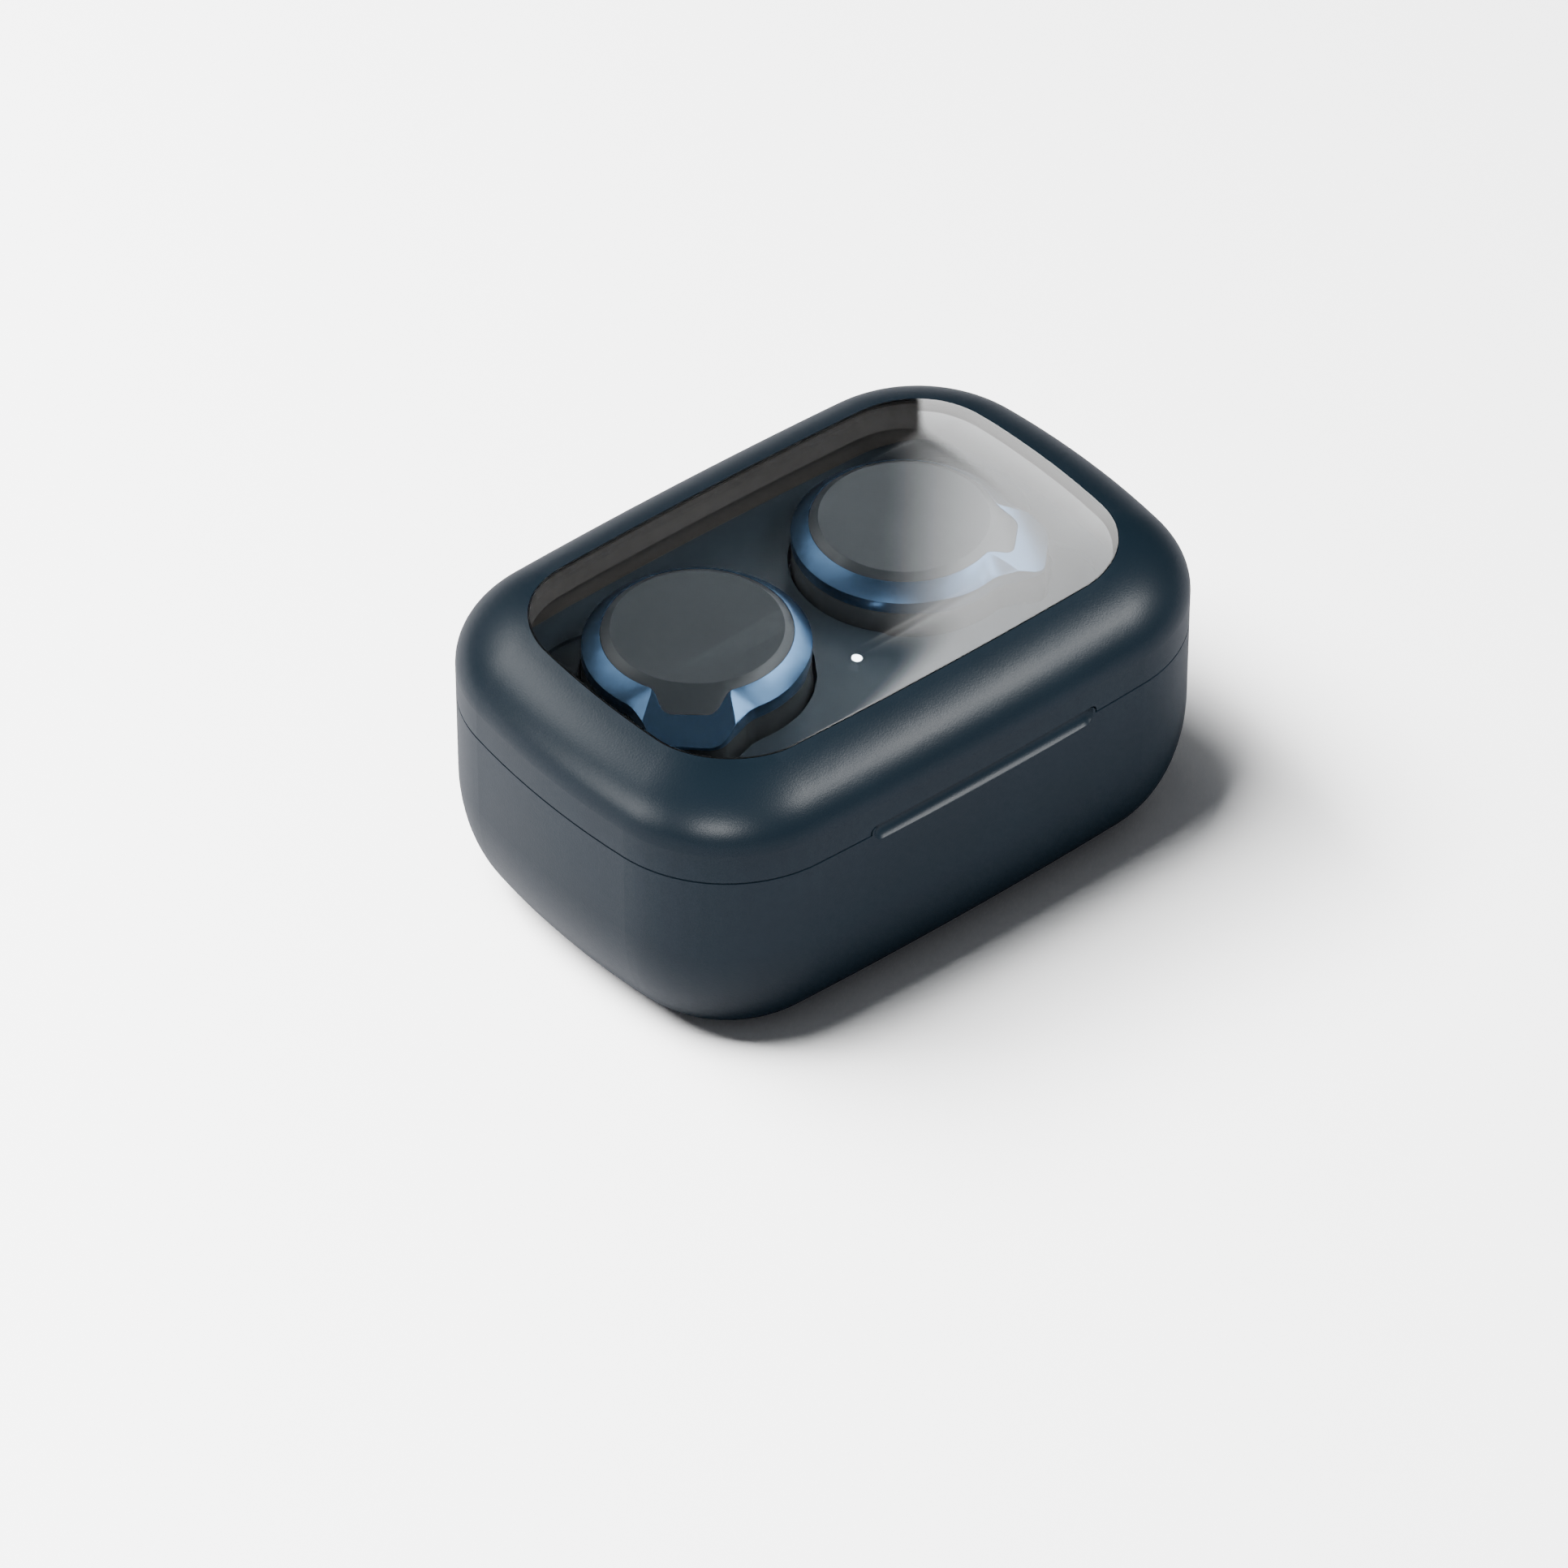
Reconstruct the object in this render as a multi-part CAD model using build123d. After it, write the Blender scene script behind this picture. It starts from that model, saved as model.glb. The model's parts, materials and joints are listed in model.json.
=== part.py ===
"""A wireless earbuds case with its two earbuds, as an assembly of separate pieces.

Millimetres. +Z is up, +X runs to the right along the case's length, and +Y points to the hinge at
the back. The origin is on the resting surface, under the middle of the case.
The lid is closed and both earbuds sit in their cradles.
"""

import math
import os

from build123d import *

# ---- driving dimensions: the case ------------------------------------------------------------
CASE_LENGTH = 75.0
CASE_WIDTH = 51.8
CASE_HEIGHT = 35.2
LONG_SIDE_RADIUS = 580.0  # plan radius of the nearly straight front and back
SHORT_SIDE_RADIUS = 95.0  # plan radius of the bowed ends
CORNER_RADIUS = 15.4
SEAM_Z = 24.2  # where the lid meets the base
SEAM_GAP = 0.2
BOTTOM_CURVE_WIDTH = 7.9  # how far the lower edge curves in, and over what height
BOTTOM_CURVE_HEIGHT = 14.0
TOP_CURVE_WIDTH = 14.2  # how far the top edge curves in, and over what height
TOP_CURVE_HEIGHT = 7.4
WALL = 1.6
FLOOR = 1.5

# ---- driving dimensions: the lid -------------------------------------------------------------
WINDOW_INSET_X = 7.2  # from the case's ends and its long sides to the window's edge
WINDOW_INSET_Y = 6.9
WINDOW_LONG_RADIUS = 580.0
WINDOW_SHORT_RADIUS = 103.0
WINDOW_CORNER_RADIUS = 10.4
WINDOW_THICKNESS = 1.8
WINDOW_GAP = 0.06
LIP_THICKNESS = 0.75  # of the lid frame, over the window's flange
LIP_WIDTH = 0.9
TAPE_THICKNESS = 0.1
LINER_INSET = 3.5  # from the case's outline to the outside of the liner's wall
LINER_WALL = 1.1
LINER_ROOF = 1.0
LINER_FLANGE = 1.0
LINER_GAP = 0.1  # under the window
LINER_SKIRT_Z = 29.6  # lower edge of the skirt that hangs round the window
LID_MAGNET_SIZE = (6.0, 1.2, 2.4)
MAGNET_X = 18.0

# ---- driving dimensions: hinge, finger groove and ports --------------------------------------
HINGE_INSET = 0.7  # the hinge axis, in from the back face, level with the seam
HINGE_RELIEF_ANGLE = 54.0  # each rim slopes away by this much behind the hinge axis
PIN_RADIUS = 0.5
PIN_CLEARANCE = 0.05
KNUCKLE_RADIUS = 1.15
KNUCKLE_CLEARANCE = 0.2
LID_KNUCKLE_LENGTH = 13.6
BASE_KNUCKLE_LENGTH = 5.4
KNUCKLE_END_GAP = 0.15
BRACKET_THICKNESS = 1.0
BRACKET_DEPTH = 4.0  # from the hinge axis towards the front
GROOVE_LENGTH = 30.2
GROOVE_RISE = 0.95  # how far the parting line steps up over the finger groove
GROOVE_CORNER = 0.6
GROOVE_RADIUS = 1.5
GROOVE_DEPTH = 0.85
GROOVE_TAB_THICKNESS = 1.3
PORT_Z = 10.4
PORT_CLEARANCE = 0.2
SOCKET_SIZE = (8.94, 7.3, 3.26)
SOCKET_WALL = 0.3
SOCKET_RECESS = 0.9  # of the socket's mouth, from the case's back face
TONGUE_SIZE = (6.7, 5.6, 0.7)
BUTTON_X = 12.5
BUTTON_RADIUS = 1.7
BUTTON_FLANGE_RADIUS = 2.4
BUTTON_FLANGE = 0.7
BUTTON_CLEARANCE = 0.1
BUTTON_PROUD = 0.1
BUTTON_FLANGE_GAP = 0.1
BUTTON_SWITCH_GAP = 0.5

# ---- driving dimensions: tray and cradles ----------------------------------------------------
DECK_Z = 25.8  # top of the tray's raised deck
DECK_THICKNESS = 1.3
DECK_GAP = 0.5  # between the deck and the liner's wall
TRAY_GAP = 0.15  # between the tray and the base shell
TRAY_RIM_DROP = 0.2  # of the tray's rim, below the base's rim
TRAY_RIM_THICKNESS = 1.1
TRAY_WALL = 1.0
LEDGE_WIDTH = 1.2
LEDGE_HEIGHT = 1.0
CRADLE_GAP = 0.35
CRADLE_FLOOR_GAP = 0.5  # between an earbud's undersides and the cradle
WELL_GAP = 1.0  # round the ear tip, which leans a little
WELL_WALL = 0.8
WELL_FLOOR_GAP = 0.6
SCOOP_RADIUS = 9.5  # the finger scoop beside each earbud
SCOOP_OFFSET = (8.0, 3.0)  # from the earbud's axis, outwards and back
SCOOP_DEPTH = 0.5
TAB_SCOOP_RADIUS = 5.2  # the smaller scoop under the earbud's tab
LIGHT_Y = -5.0
LIGHT_RADIUS = 0.55

# ---- driving dimensions: the earbuds ---------------------------------------------------------
EARBUD_X = 14.0
EARBUD_Y = 3.75
TAB_ANGLE = -47.0  # of the right earbud's tab, from +X; the left one is its mirror image
FACE_Z = 31.55  # top of the round face
FACE_RADIUS = 9.07
CAP_RADIUS = 10.03
CAP_SLOPE = 0.59  # fall per millimetre of radius, outside the round face
CAP_THICKNESS = 2.3
CAP_GAP = 0.05  # between the cap and the bezel round it
CAP_TAB = (11.8, 3.9, 2.6)  # reach of the tab, its half width at the root, and at its end
CAP_TAB_FILLETS = (1.9, 1.5)  # at the root and at the end
BEZEL_RADIUS = 11.9
BEZEL_TAB = (15.0, 6.2, 3.3)
BEZEL_TAB_FILLETS = (4.0, 2.2)
BEZEL_TOP_DROP = 0.53  # of the bezel's inner edge, below the face
BEZEL_EDGE_DROP = 1.95  # of its outer edge, below the face
BEZEL_SIDE = 1.35  # height of its side band
BEZEL_LEDGE = 1.4  # how far it reaches in under the cap
TAB_SLOPE = 0.43
HOUSING_INSET = 0.06  # of the outer housing, from the bezel's side
HOUSING_HEIGHT = 4.85
HOUSING_BORE = 10.9
HOUSING_FLOOR = 0.9
EAR_SIDE_RADIUS = 10.4
EAR_SIDE_FLAT = 7.6  # radius of its flat underside
EAR_SIDE_DEPTH = 4.8
EAR_SIDE_WALL = 0.9
NOSE_OFFSET = (-1.6, 2.2)  # of the nozzle from the earbud's axis, outwards and back
NOSE_RADIUS = 4.6
NOSE_DEPTH = 3.4
NOZZLE_RADIUS = 2.6
NOZZLE_BORE = 1.7
NOZZLE_LENGTH = 5.0
NOZZLE_TILT = 8.0
NOZZLE_LIP = 0.35
MESH_THICKNESS = 0.3
TIP_RADIUS = 5.6
TIP_LENGTH = 7.0
TIP_WALL = 0.7
TIP_ROOT_GAP = 0.8  # from the nose to the tip's inner sleeve
TIP_OVERHANG = 0.9  # of the ear tip, past the nozzle's end
CONTACT_RADIUS = 1.05
CONTACT_SPACING = 4.0
CONTACT_OFFSET_Y = -6.3
CONTACT_THICKNESS = 0.4
CONTACT_PROUD = 0.05
BUD_MAGNET_RADIUS = 1.0
BUD_MAGNET_THICKNESS = 1.4
BUD_MAGNET_OFFSET = (4.3, -3.4)
DRIVER_RADIUS = 3.9
DRIVER_THICKNESS = 1.6
BUD_CELL_RADIUS = 6.0
BUD_CELL_THICKNESS = 2.4
BUD_BOARD_RADIUS = 10.2
BUD_BOARD_THICKNESS = 0.8
BUD_SENSOR_RADIUS = 7.6
BUD_SENSOR_THICKNESS = 0.3

# ---- driving dimensions: inside the base -----------------------------------------------------
COIL_OUTER_RADIUS = 16.6
COIL_TURNS = 8
COIL_PITCH = 0.8
COIL_WIRE_RADIUS = 0.42
FERRITE_RADIUS = 17.6
FERRITE_THICKNESS = 0.5
CHASSIS_INSET = 7.2
CHASSIS_GAP = 0.35  # above the ferrite sheet
CHASSIS_THICKNESS = 1.0
PILLAR_PLACE = (24.0, 12.0)
PILLAR_RADIUS = 1.9
BATTERY_SIZE = (36.0, 10.4, 12.4)
BATTERY_Y = -15.4
BATTERY_PAD = 0.7
BOARD_THICKNESS = 0.8
BOARD_GAP = 0.7  # between the chassis and the main board
BOARD_SIZE = (44.0, 22.0)
BOARD_Y = 3.0
SOCKET_BOARD_DEPTH = 6.6
SCREW_RADIUS = 0.6
SCREW_HEAD_RADIUS = 1.2
SCREW_HEAD = 0.5
SCREW_CLEARANCE = 0.06
CHASSIS_SCREW_LENGTH = 2.4
LED_HEIGHT = 0.7
HINGE_SCREW_X = 9.6
HINGE_SCREW_Y = 2.7  # in front of the hinge axis
PIN_TIP_RADIUS = 0.45
PIN_COLLAR_RADIUS = 0.62
PIN_COLLAR_HEIGHT = 0.6
PIN_GUIDE_CLEARANCE = 0.05
PIN_CONTACT_GAP = 0.02
BARREL_RADIUS = 0.9
BARREL_LENGTH = 3.6
BARREL_CAP = 0.5
BARREL_BASE = 0.4
PIN_BOARD_MARGIN = 0.1
BASE_MAGNET_SIZE = (6.0, 2.0, 2.4)

# ---- places worked out from the driving dimensions -------------------------------------------
HALF_LENGTH = CASE_LENGTH / 2
HALF_WIDTH = CASE_WIDTH / 2
CORE_INSET = CORNER_RADIUS - 0.8  # the plain middle of the case starts this far in
BASE_RIM_Z = SEAM_Z - SEAM_GAP / 2
LID_RIM_Z = SEAM_Z + SEAM_GAP / 2
HINGE_Y = HALF_WIDTH - HINGE_INSET
HINGE_NOTCH_RADIUS = KNUCKLE_RADIUS + KNUCKLE_CLEARANCE
HINGE_HALF = LID_KNUCKLE_LENGTH / 2 + KNUCKLE_END_GAP + BASE_KNUCKLE_LENGTH
HINGE_NOTCH_HALF = HINGE_HALF + KNUCKLE_CLEARANCE
BRACKET_Z = SEAM_Z - HINGE_NOTCH_RADIUS
TRAY_RIM_Z = BASE_RIM_Z - TRAY_RIM_DROP
LEDGE_Z = TRAY_RIM_Z - TRAY_RIM_THICKNESS
DECK_INSET = LINER_INSET + LINER_WALL + DECK_GAP
BEZEL_TOP_Z = FACE_Z - BEZEL_TOP_DROP
BEZEL_EDGE_Z = FACE_Z - BEZEL_EDGE_DROP
BEZEL_BASE_Z = BEZEL_EDGE_Z - BEZEL_SIDE
HOUSING_BASE_Z = BEZEL_BASE_Z - HOUSING_HEIGHT
EAR_SIDE_BASE_Z = HOUSING_BASE_Z - EAR_SIDE_DEPTH
NOSE_BASE_Z = EAR_SIDE_BASE_Z - NOSE_DEPTH
TIP_END_Z = NOSE_BASE_Z - NOZZLE_LENGTH - TIP_OVERHANG
POCKET_Z = HOUSING_BASE_Z - CRADLE_FLOOR_GAP
CUP_Z = EAR_SIDE_BASE_Z - CRADLE_FLOOR_GAP
WELL_Z = TIP_END_Z - WELL_FLOOR_GAP
CHASSIS_Z = FLOOR + 2 * COIL_WIRE_RADIUS + FERRITE_THICKNESS + CHASSIS_GAP
BOARD_Z = CHASSIS_Z + CHASSIS_THICKNESS + BOARD_GAP
SOCKET_BOARD_Z = PORT_Z - SOCKET_SIZE[2] / 2 - BOARD_THICKNESS
FAR = 100.0  # reaches past everything in the model


# ---- plain shapes ----------------------------------------------------------------------------
def block(x_low, x_high, y_low, y_high, z_low, z_high):
    middle = Pos((x_low + x_high) / 2, (y_low + y_high) / 2, (z_low + z_high) / 2)
    return middle * Box(x_high - x_low, y_high - y_low, z_high - z_low)


def disc(x, y, radius, z_low, z_high):
    return Pos(x, y, (z_low + z_high) / 2) * Cylinder(radius, z_high - z_low)


def rod_x(x_low, x_high, y, z, radius):
    return Pos((x_low + x_high) / 2, y, z) * Rot(0, 90, 0) * Cylinder(radius, x_high - x_low)


def rod_y(x, y_low, y_high, z, radius):
    return Pos(x, (y_low + y_high) / 2, z) * Rot(90, 0, 0) * Cylinder(radius, y_high - y_low)


def both_sides(shape):
    return [shape, mirror(shape, Plane.YZ)]


def extruded(face, z_low, z_high):
    return Pos(0, 0, z_low) * extrude(face, z_high - z_low)


# ---- outlines --------------------------------------------------------------------------------
def outline_arcs(half_length, half_width, long_radius, short_radius, corner_radius):
    """The eight tangent arcs of a rounded, slightly bowed rectangle: (centre, radius, start, size)."""
    long_centre = Vector(0, half_width - long_radius)
    short_centre = Vector(half_length - short_radius, 0)
    reach_long = long_radius - corner_radius
    reach_short = short_radius - corner_radius
    between = short_centre - long_centre
    span = between.length
    along = (reach_long**2 - reach_short**2 + span**2) / (2 * span)
    across = math.sqrt(reach_long**2 - along**2)
    unit = between / span
    corner = long_centre + unit * along + Vector(unit.Y, -unit.X) * across
    low = math.degrees(math.atan2(corner.Y - short_centre.Y, corner.X - short_centre.X))
    high = math.degrees(math.atan2(corner.Y - long_centre.Y, corner.X - long_centre.X))
    arcs = []
    for turn, sign_x, sign_y in ((0, 1, 1), (180, -1, -1)):
        arcs += [
            (Vector(sign_x * short_centre.X, 0), short_radius, turn - low, 2 * low),
            (Vector(sign_x * corner.X, sign_y * corner.Y), corner_radius, turn + low, high - low),
            (Vector(0, sign_y * long_centre.Y), long_radius, turn + high, 180 - 2 * high),
            (Vector(-sign_x * corner.X, sign_y * corner.Y), corner_radius, turn + 180 - high, high - low),
        ]
    return arcs


CASE_ARCS = outline_arcs(
    HALF_LENGTH, HALF_WIDTH, LONG_SIDE_RADIUS, SHORT_SIDE_RADIUS, CORNER_RADIUS
)
WINDOW_ARCS = outline_arcs(
    HALF_LENGTH - WINDOW_INSET_X,
    HALF_WIDTH - WINDOW_INSET_Y,
    WINDOW_LONG_RADIUS,
    WINDOW_SHORT_RADIUS,
    WINDOW_CORNER_RADIUS,
)


def arcs_prism(arcs, inset, z_low, z_high):
    """The outline, taken in by inset, as a prism from z_low to z_high."""
    ends = []
    for centre, radius, start, size in arcs:
        for angle in (start, start + size / 2):
            turn = math.radians(angle)
            ends.append(centre + Vector(math.cos(turn), math.sin(turn)) * (radius - inset))
    edges = []
    for i in range(0, len(ends), 2):
        edges.append(Edge.make_three_point_arc(ends[i], ends[i + 1], ends[(i + 2) % len(ends)]))
    return extruded(Face(Wire(edges)), z_low, z_high)


def case_prism(inset, z_low, z_high):
    return arcs_prism(CASE_ARCS, inset, z_low, z_high)


def window_prism(inset, z_low, z_high):
    return arcs_prism(WINDOW_ARCS, inset, z_low, z_high)


def envelope(inset, floor=None):
    """The case's closed outer shape, taken in by inset, with its underside at floor."""
    floor = inset if floor is None else floor
    roof = CASE_HEIGHT - inset
    low_z = BOTTOM_CURVE_HEIGHT
    high_z = CASE_HEIGHT - TOP_CURVE_HEIGHT
    parts = [case_prism(CORE_INSET, floor, roof)]
    for centre, radius, start, size in CASE_ARCS:
        core = radius - CORE_INSET
        side = radius - inset
        low_x = radius - BOTTOM_CURVE_WIDTH
        high_x = radius - TOP_CURVE_WIDTH
        lower = EllipticalCenterArc((low_x, low_z), side - low_x, low_z - floor, start_angle=-90)
        upper = EllipticalCenterArc((high_x, high_z), side - high_x, roof - high_z, start_angle=0)
        section = Wire(
            [
                Edge.make_line((core, roof), (core, floor)),
                Edge.make_line((core, floor), (low_x, floor)),
                lower.edge(),
                Edge.make_line((side, low_z), (side, high_z)),
                upper.edge(),
                Edge.make_line((high_x, roof), (core, roof)),
            ]
        )
        turn = math.radians(start)
        plane = Plane(
            origin=centre,
            x_dir=(math.cos(turn), math.sin(turn), 0),
            z_dir=(math.sin(turn), -math.cos(turn), 0),
        )
        face = plane.from_local_coords(Face(section))
        parts.append(revolve(face, Axis(centre, (0, 0, 1)), size))
    return parts[0].fuse(*parts[1:]).clean()


# ---- the base --------------------------------------------------------------------------------
def hinge_wedge(direction):
    """What is cleared from a rim behind the hinge axis: downwards for -1, upwards for 1."""
    apex_y = HINGE_Y - KNUCKLE_CLEARANCE
    rise = 5 * math.tan(math.radians(HINGE_RELIEF_ANGLE))
    profile = Polyline(
        (0, apex_y, SEAM_Z),
        (0, apex_y + 5, SEAM_Z),
        (0, apex_y + 5, SEAM_Z + direction * rise),
        close=True,
    )
    return extrude(make_face(profile), FAR / 2, dir=(1, 0, 0), both=True)


def hinge_notch(direction):
    """The opening for the knuckles in the back wall of the base (-1) or of the lid (1)."""
    reach = direction * HINGE_NOTCH_RADIUS
    low, high = sorted((SEAM_Z, SEAM_Z + reach))
    half = HINGE_NOTCH_HALF
    back = HINGE_Y + HINGE_NOTCH_RADIUS
    return rod_x(-half, half, HINGE_Y, SEAM_Z, HINGE_NOTCH_RADIUS) + block(
        -half, half, HINGE_Y - BRACKET_DEPTH - TRAY_GAP, back, low, high
    )


def groove_slab(grow, z_low):
    """The tongue of the base that stands up into the lid under the finger groove."""
    half = GROOVE_LENGTH / 2 + grow
    top = BASE_RIM_Z + GROOVE_RISE + grow
    slab = block(-half, half, -HALF_WIDTH - 1, -HALF_WIDTH + CORNER_RADIUS / 2, z_low, top)
    corners = slab.edges().filter_by(Axis.Y).group_by(Axis.Z)[-1]
    return fillet(corners, GROOVE_CORNER + grow)


def groove_scoop():
    """The hollow for a fingertip, along the front just below the parting line."""
    y = -HALF_WIDTH - GROOVE_RADIUS + GROOVE_DEPTH
    z = BASE_RIM_Z + GROOVE_RISE / 2 - SEAM_GAP
    half = GROOVE_LENGTH / 2 - GROOVE_RADIUS
    scoop = rod_x(-half, half, y, z, GROOVE_RADIUS)
    for side in (-1, 1):
        scoop += Pos(side * half, y, z) * Sphere(GROOVE_RADIUS)
    return scoop


def socket_prism(grow, y_low, y_high):
    """The charging socket's rounded slot shape, grown all round."""
    width = SOCKET_SIZE[0] + 2 * grow
    height = SOCKET_SIZE[2] + 2 * grow
    reach = (width - height) / 2
    slot = block(-reach, reach, y_low, y_high, PORT_Z - height / 2, PORT_Z + height / 2)
    for side in (-1, 1):
        slot += rod_y(side * reach, y_low, y_high, PORT_Z, height / 2)
    return slot


def back_face_y(x, z, inset=0.0):
    """The case's back face at a height in the lower curve, or the inside of its wall."""
    floor = FLOOR if inset else 0.0
    down = max(0.0, BOTTOM_CURVE_HEIGHT - z) / (BOTTOM_CURVE_HEIGHT - floor)
    inward = BOTTOM_CURVE_WIDTH - (BOTTOM_CURVE_WIDTH - inset) * math.sqrt(1 - down**2)
    return HALF_WIDTH - inward - LONG_SIDE_RADIUS + math.sqrt(LONG_SIDE_RADIUS**2 - x**2)


BUTTON_FACE_Y = back_face_y(BUTTON_X, PORT_Z)
BUTTON_WALL_Y = back_face_y(BUTTON_X + BUTTON_FLANGE_RADIUS, PORT_Z - BUTTON_FLANGE_RADIUS, WALL)
SOCKET_MOUTH_Y = back_face_y(0, PORT_Z) - SOCKET_RECESS


def base_shell(outer, hollow):
    shell = outer - hollow
    tongue = (outer - envelope(GROOVE_TAB_THICKNESS)) & groove_slab(0, BASE_RIM_Z - SEAM_GAP)
    shell &= block(-FAR, FAR, -FAR, FAR, 0, BASE_RIM_Z)
    shell += tongue
    ledge = case_prism(WALL - TRAY_GAP, LEDGE_Z - LEDGE_HEIGHT, LEDGE_Z)
    ledge -= case_prism(WALL + LEDGE_WIDTH, LEDGE_Z - LEDGE_HEIGHT, LEDGE_Z)
    shell += ledge
    for x in (-PILLAR_PLACE[0], PILLAR_PLACE[0]):
        for y in (-PILLAR_PLACE[1], PILLAR_PLACE[1]):
            shell += disc(x, y, PILLAR_RADIUS, FLOOR / 2, CHASSIS_Z)
            shell -= disc(x, y, SCREW_RADIUS, FLOOR, CHASSIS_Z)
    screw_y = HINGE_Y - HINGE_SCREW_Y
    for x in (-HINGE_SCREW_X, HINGE_SCREW_X):
        half = SCREW_HEAD_RADIUS + 0.6
        front = HINGE_Y - BRACKET_DEPTH
        boss = block(x - half, x + half, front, HALF_WIDTH, LEDGE_Z - 5, BRACKET_Z)
        shell += boss & outer
        shell -= disc(x, screw_y, SCREW_RADIUS, BRACKET_Z - 4, BRACKET_Z)
    shell -= hinge_notch(-1) + hinge_wedge(-1)
    shell -= groove_scoop()
    shell -= socket_prism(PORT_CLEARANCE, HALF_WIDTH - 3 * WALL, FAR)
    shell -= rod_y(BUTTON_X, HALF_WIDTH - 3 * WALL, FAR, PORT_Z, BUTTON_RADIUS + BUTTON_CLEARANCE)
    return shell


# ---- the earbuds' plan shapes ----------------------------------------------------------------
def tab_face(radius, tab, fillets):
    """A disc with a rounded tab, facing +X, whose sides blend into the disc."""
    reach, root, end = tab
    across = math.sqrt(radius**2 - root**2) * 0.985
    face = Circle(radius) + Polygon(
        (0, 0), (across, -root), (reach, -end), (reach, end), (across, root), align=None
    )
    face = make_face(face.face().outer_wire())
    corners = face.vertices().sort_by(Axis.X)
    face = fillet(corners[-2:], fillets[1])
    corners = face.vertices().sort_by(Axis.X)
    return fillet(corners[:2], fillets[0])


CAP_FACE = tab_face(CAP_RADIUS, CAP_TAB, CAP_TAB_FILLETS)
BEZEL_FACE = tab_face(BEZEL_RADIUS, BEZEL_TAB, BEZEL_TAB_FILLETS)
RIGHT_EARBUD = Pos(EARBUD_X, EARBUD_Y, 0) * Rot(0, 0, TAB_ANGLE)


def grown(face, amount):
    return offset(face, amount=amount)


# ---- the tray and its cradles ----------------------------------------------------------------
WELL_X = EARBUD_X + NOSE_OFFSET[0] - TIP_LENGTH / 2 * math.sin(math.radians(NOZZLE_TILT))
WELL_Y = EARBUD_Y + NOSE_OFFSET[1]
WELL_RADIUS = TIP_RADIUS + WELL_GAP
CUP_RADIUS = EAR_SIDE_RADIUS + CRADLE_GAP


def pin_places():
    """Where the right cradle's two charging pins stand."""
    y = EARBUD_Y + CONTACT_OFFSET_Y
    return [(EARBUD_X - CONTACT_SPACING / 2, y), (EARBUD_X + CONTACT_SPACING / 2, y)]


def cradle_walls():
    """The walls of the right cradle: the pocket for the housing, the cup and the ear tip's well."""
    pocket = RIGHT_EARBUD * grown(BEZEL_FACE, CRADLE_GAP + TRAY_WALL)
    walls = extruded(pocket, POCKET_Z - TRAY_WALL, DECK_Z)
    walls += disc(EARBUD_X, EARBUD_Y, CUP_RADIUS + TRAY_WALL, CUP_Z - TRAY_WALL, POCKET_Z)
    walls += disc(WELL_X, WELL_Y, WELL_RADIUS + WELL_WALL, WELL_Z - WELL_WALL, CUP_Z)
    return walls


def cradle_hollow():
    """What the right cradle leaves free, with the holes for its charging pins."""
    pocket = RIGHT_EARBUD * grown(BEZEL_FACE, CRADLE_GAP)
    hollow = extruded(pocket, POCKET_Z, DECK_Z + 1)
    hollow += disc(EARBUD_X, EARBUD_Y, CUP_RADIUS, CUP_Z, POCKET_Z + 0.1)
    hollow += disc(WELL_X, WELL_Y, WELL_RADIUS, WELL_Z, CUP_Z + 0.1)
    for x, y in pin_places():
        hollow += disc(x, y, PIN_TIP_RADIUS + 2 * PIN_GUIDE_CLEARANCE, CUP_Z - 2 * TRAY_WALL, CUP_Z + 0.1)
    scoop_x = EARBUD_X + SCOOP_OFFSET[0]
    scoop_y = EARBUD_Y + SCOOP_OFFSET[1]
    hollow += disc(scoop_x, scoop_y, SCOOP_RADIUS, DECK_Z - SCOOP_DEPTH, DECK_Z + 1)
    turn = math.radians(TAB_ANGLE)
    tab_x = EARBUD_X + BEZEL_TAB[0] * math.cos(turn)
    tab_y = EARBUD_Y + BEZEL_TAB[0] * math.sin(turn)
    hollow += disc(tab_x, tab_y, TAB_SCOOP_RADIUS, DECK_Z - SCOOP_DEPTH, DECK_Z + 1)
    return hollow


def inner_tray():
    tray = case_prism(WALL + TRAY_GAP, LEDGE_Z, TRAY_RIM_Z)
    tray += case_prism(DECK_INSET, LEDGE_Z, DECK_Z)
    tray -= case_prism(DECK_INSET + TRAY_WALL, LEDGE_Z, DECK_Z - DECK_THICKNESS)
    for walls in both_sides(cradle_walls()):
        tray += walls
    for hollow in both_sides(cradle_hollow()):
        tray -= hollow
    tray -= disc(0, LIGHT_Y, LIGHT_RADIUS, LEDGE_Z, DECK_Z)
    half = HINGE_NOTCH_HALF
    front = HINGE_Y - BRACKET_DEPTH - TRAY_GAP
    tray -= block(-half, half, front, HALF_WIDTH, LEDGE_Z - 1, TRAY_RIM_Z + 1)
    return tray


def light_guide():
    return disc(0, LIGHT_Y, LIGHT_RADIUS, BOARD_Z + BOARD_THICKNESS + LED_HEIGHT, DECK_Z)


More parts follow.
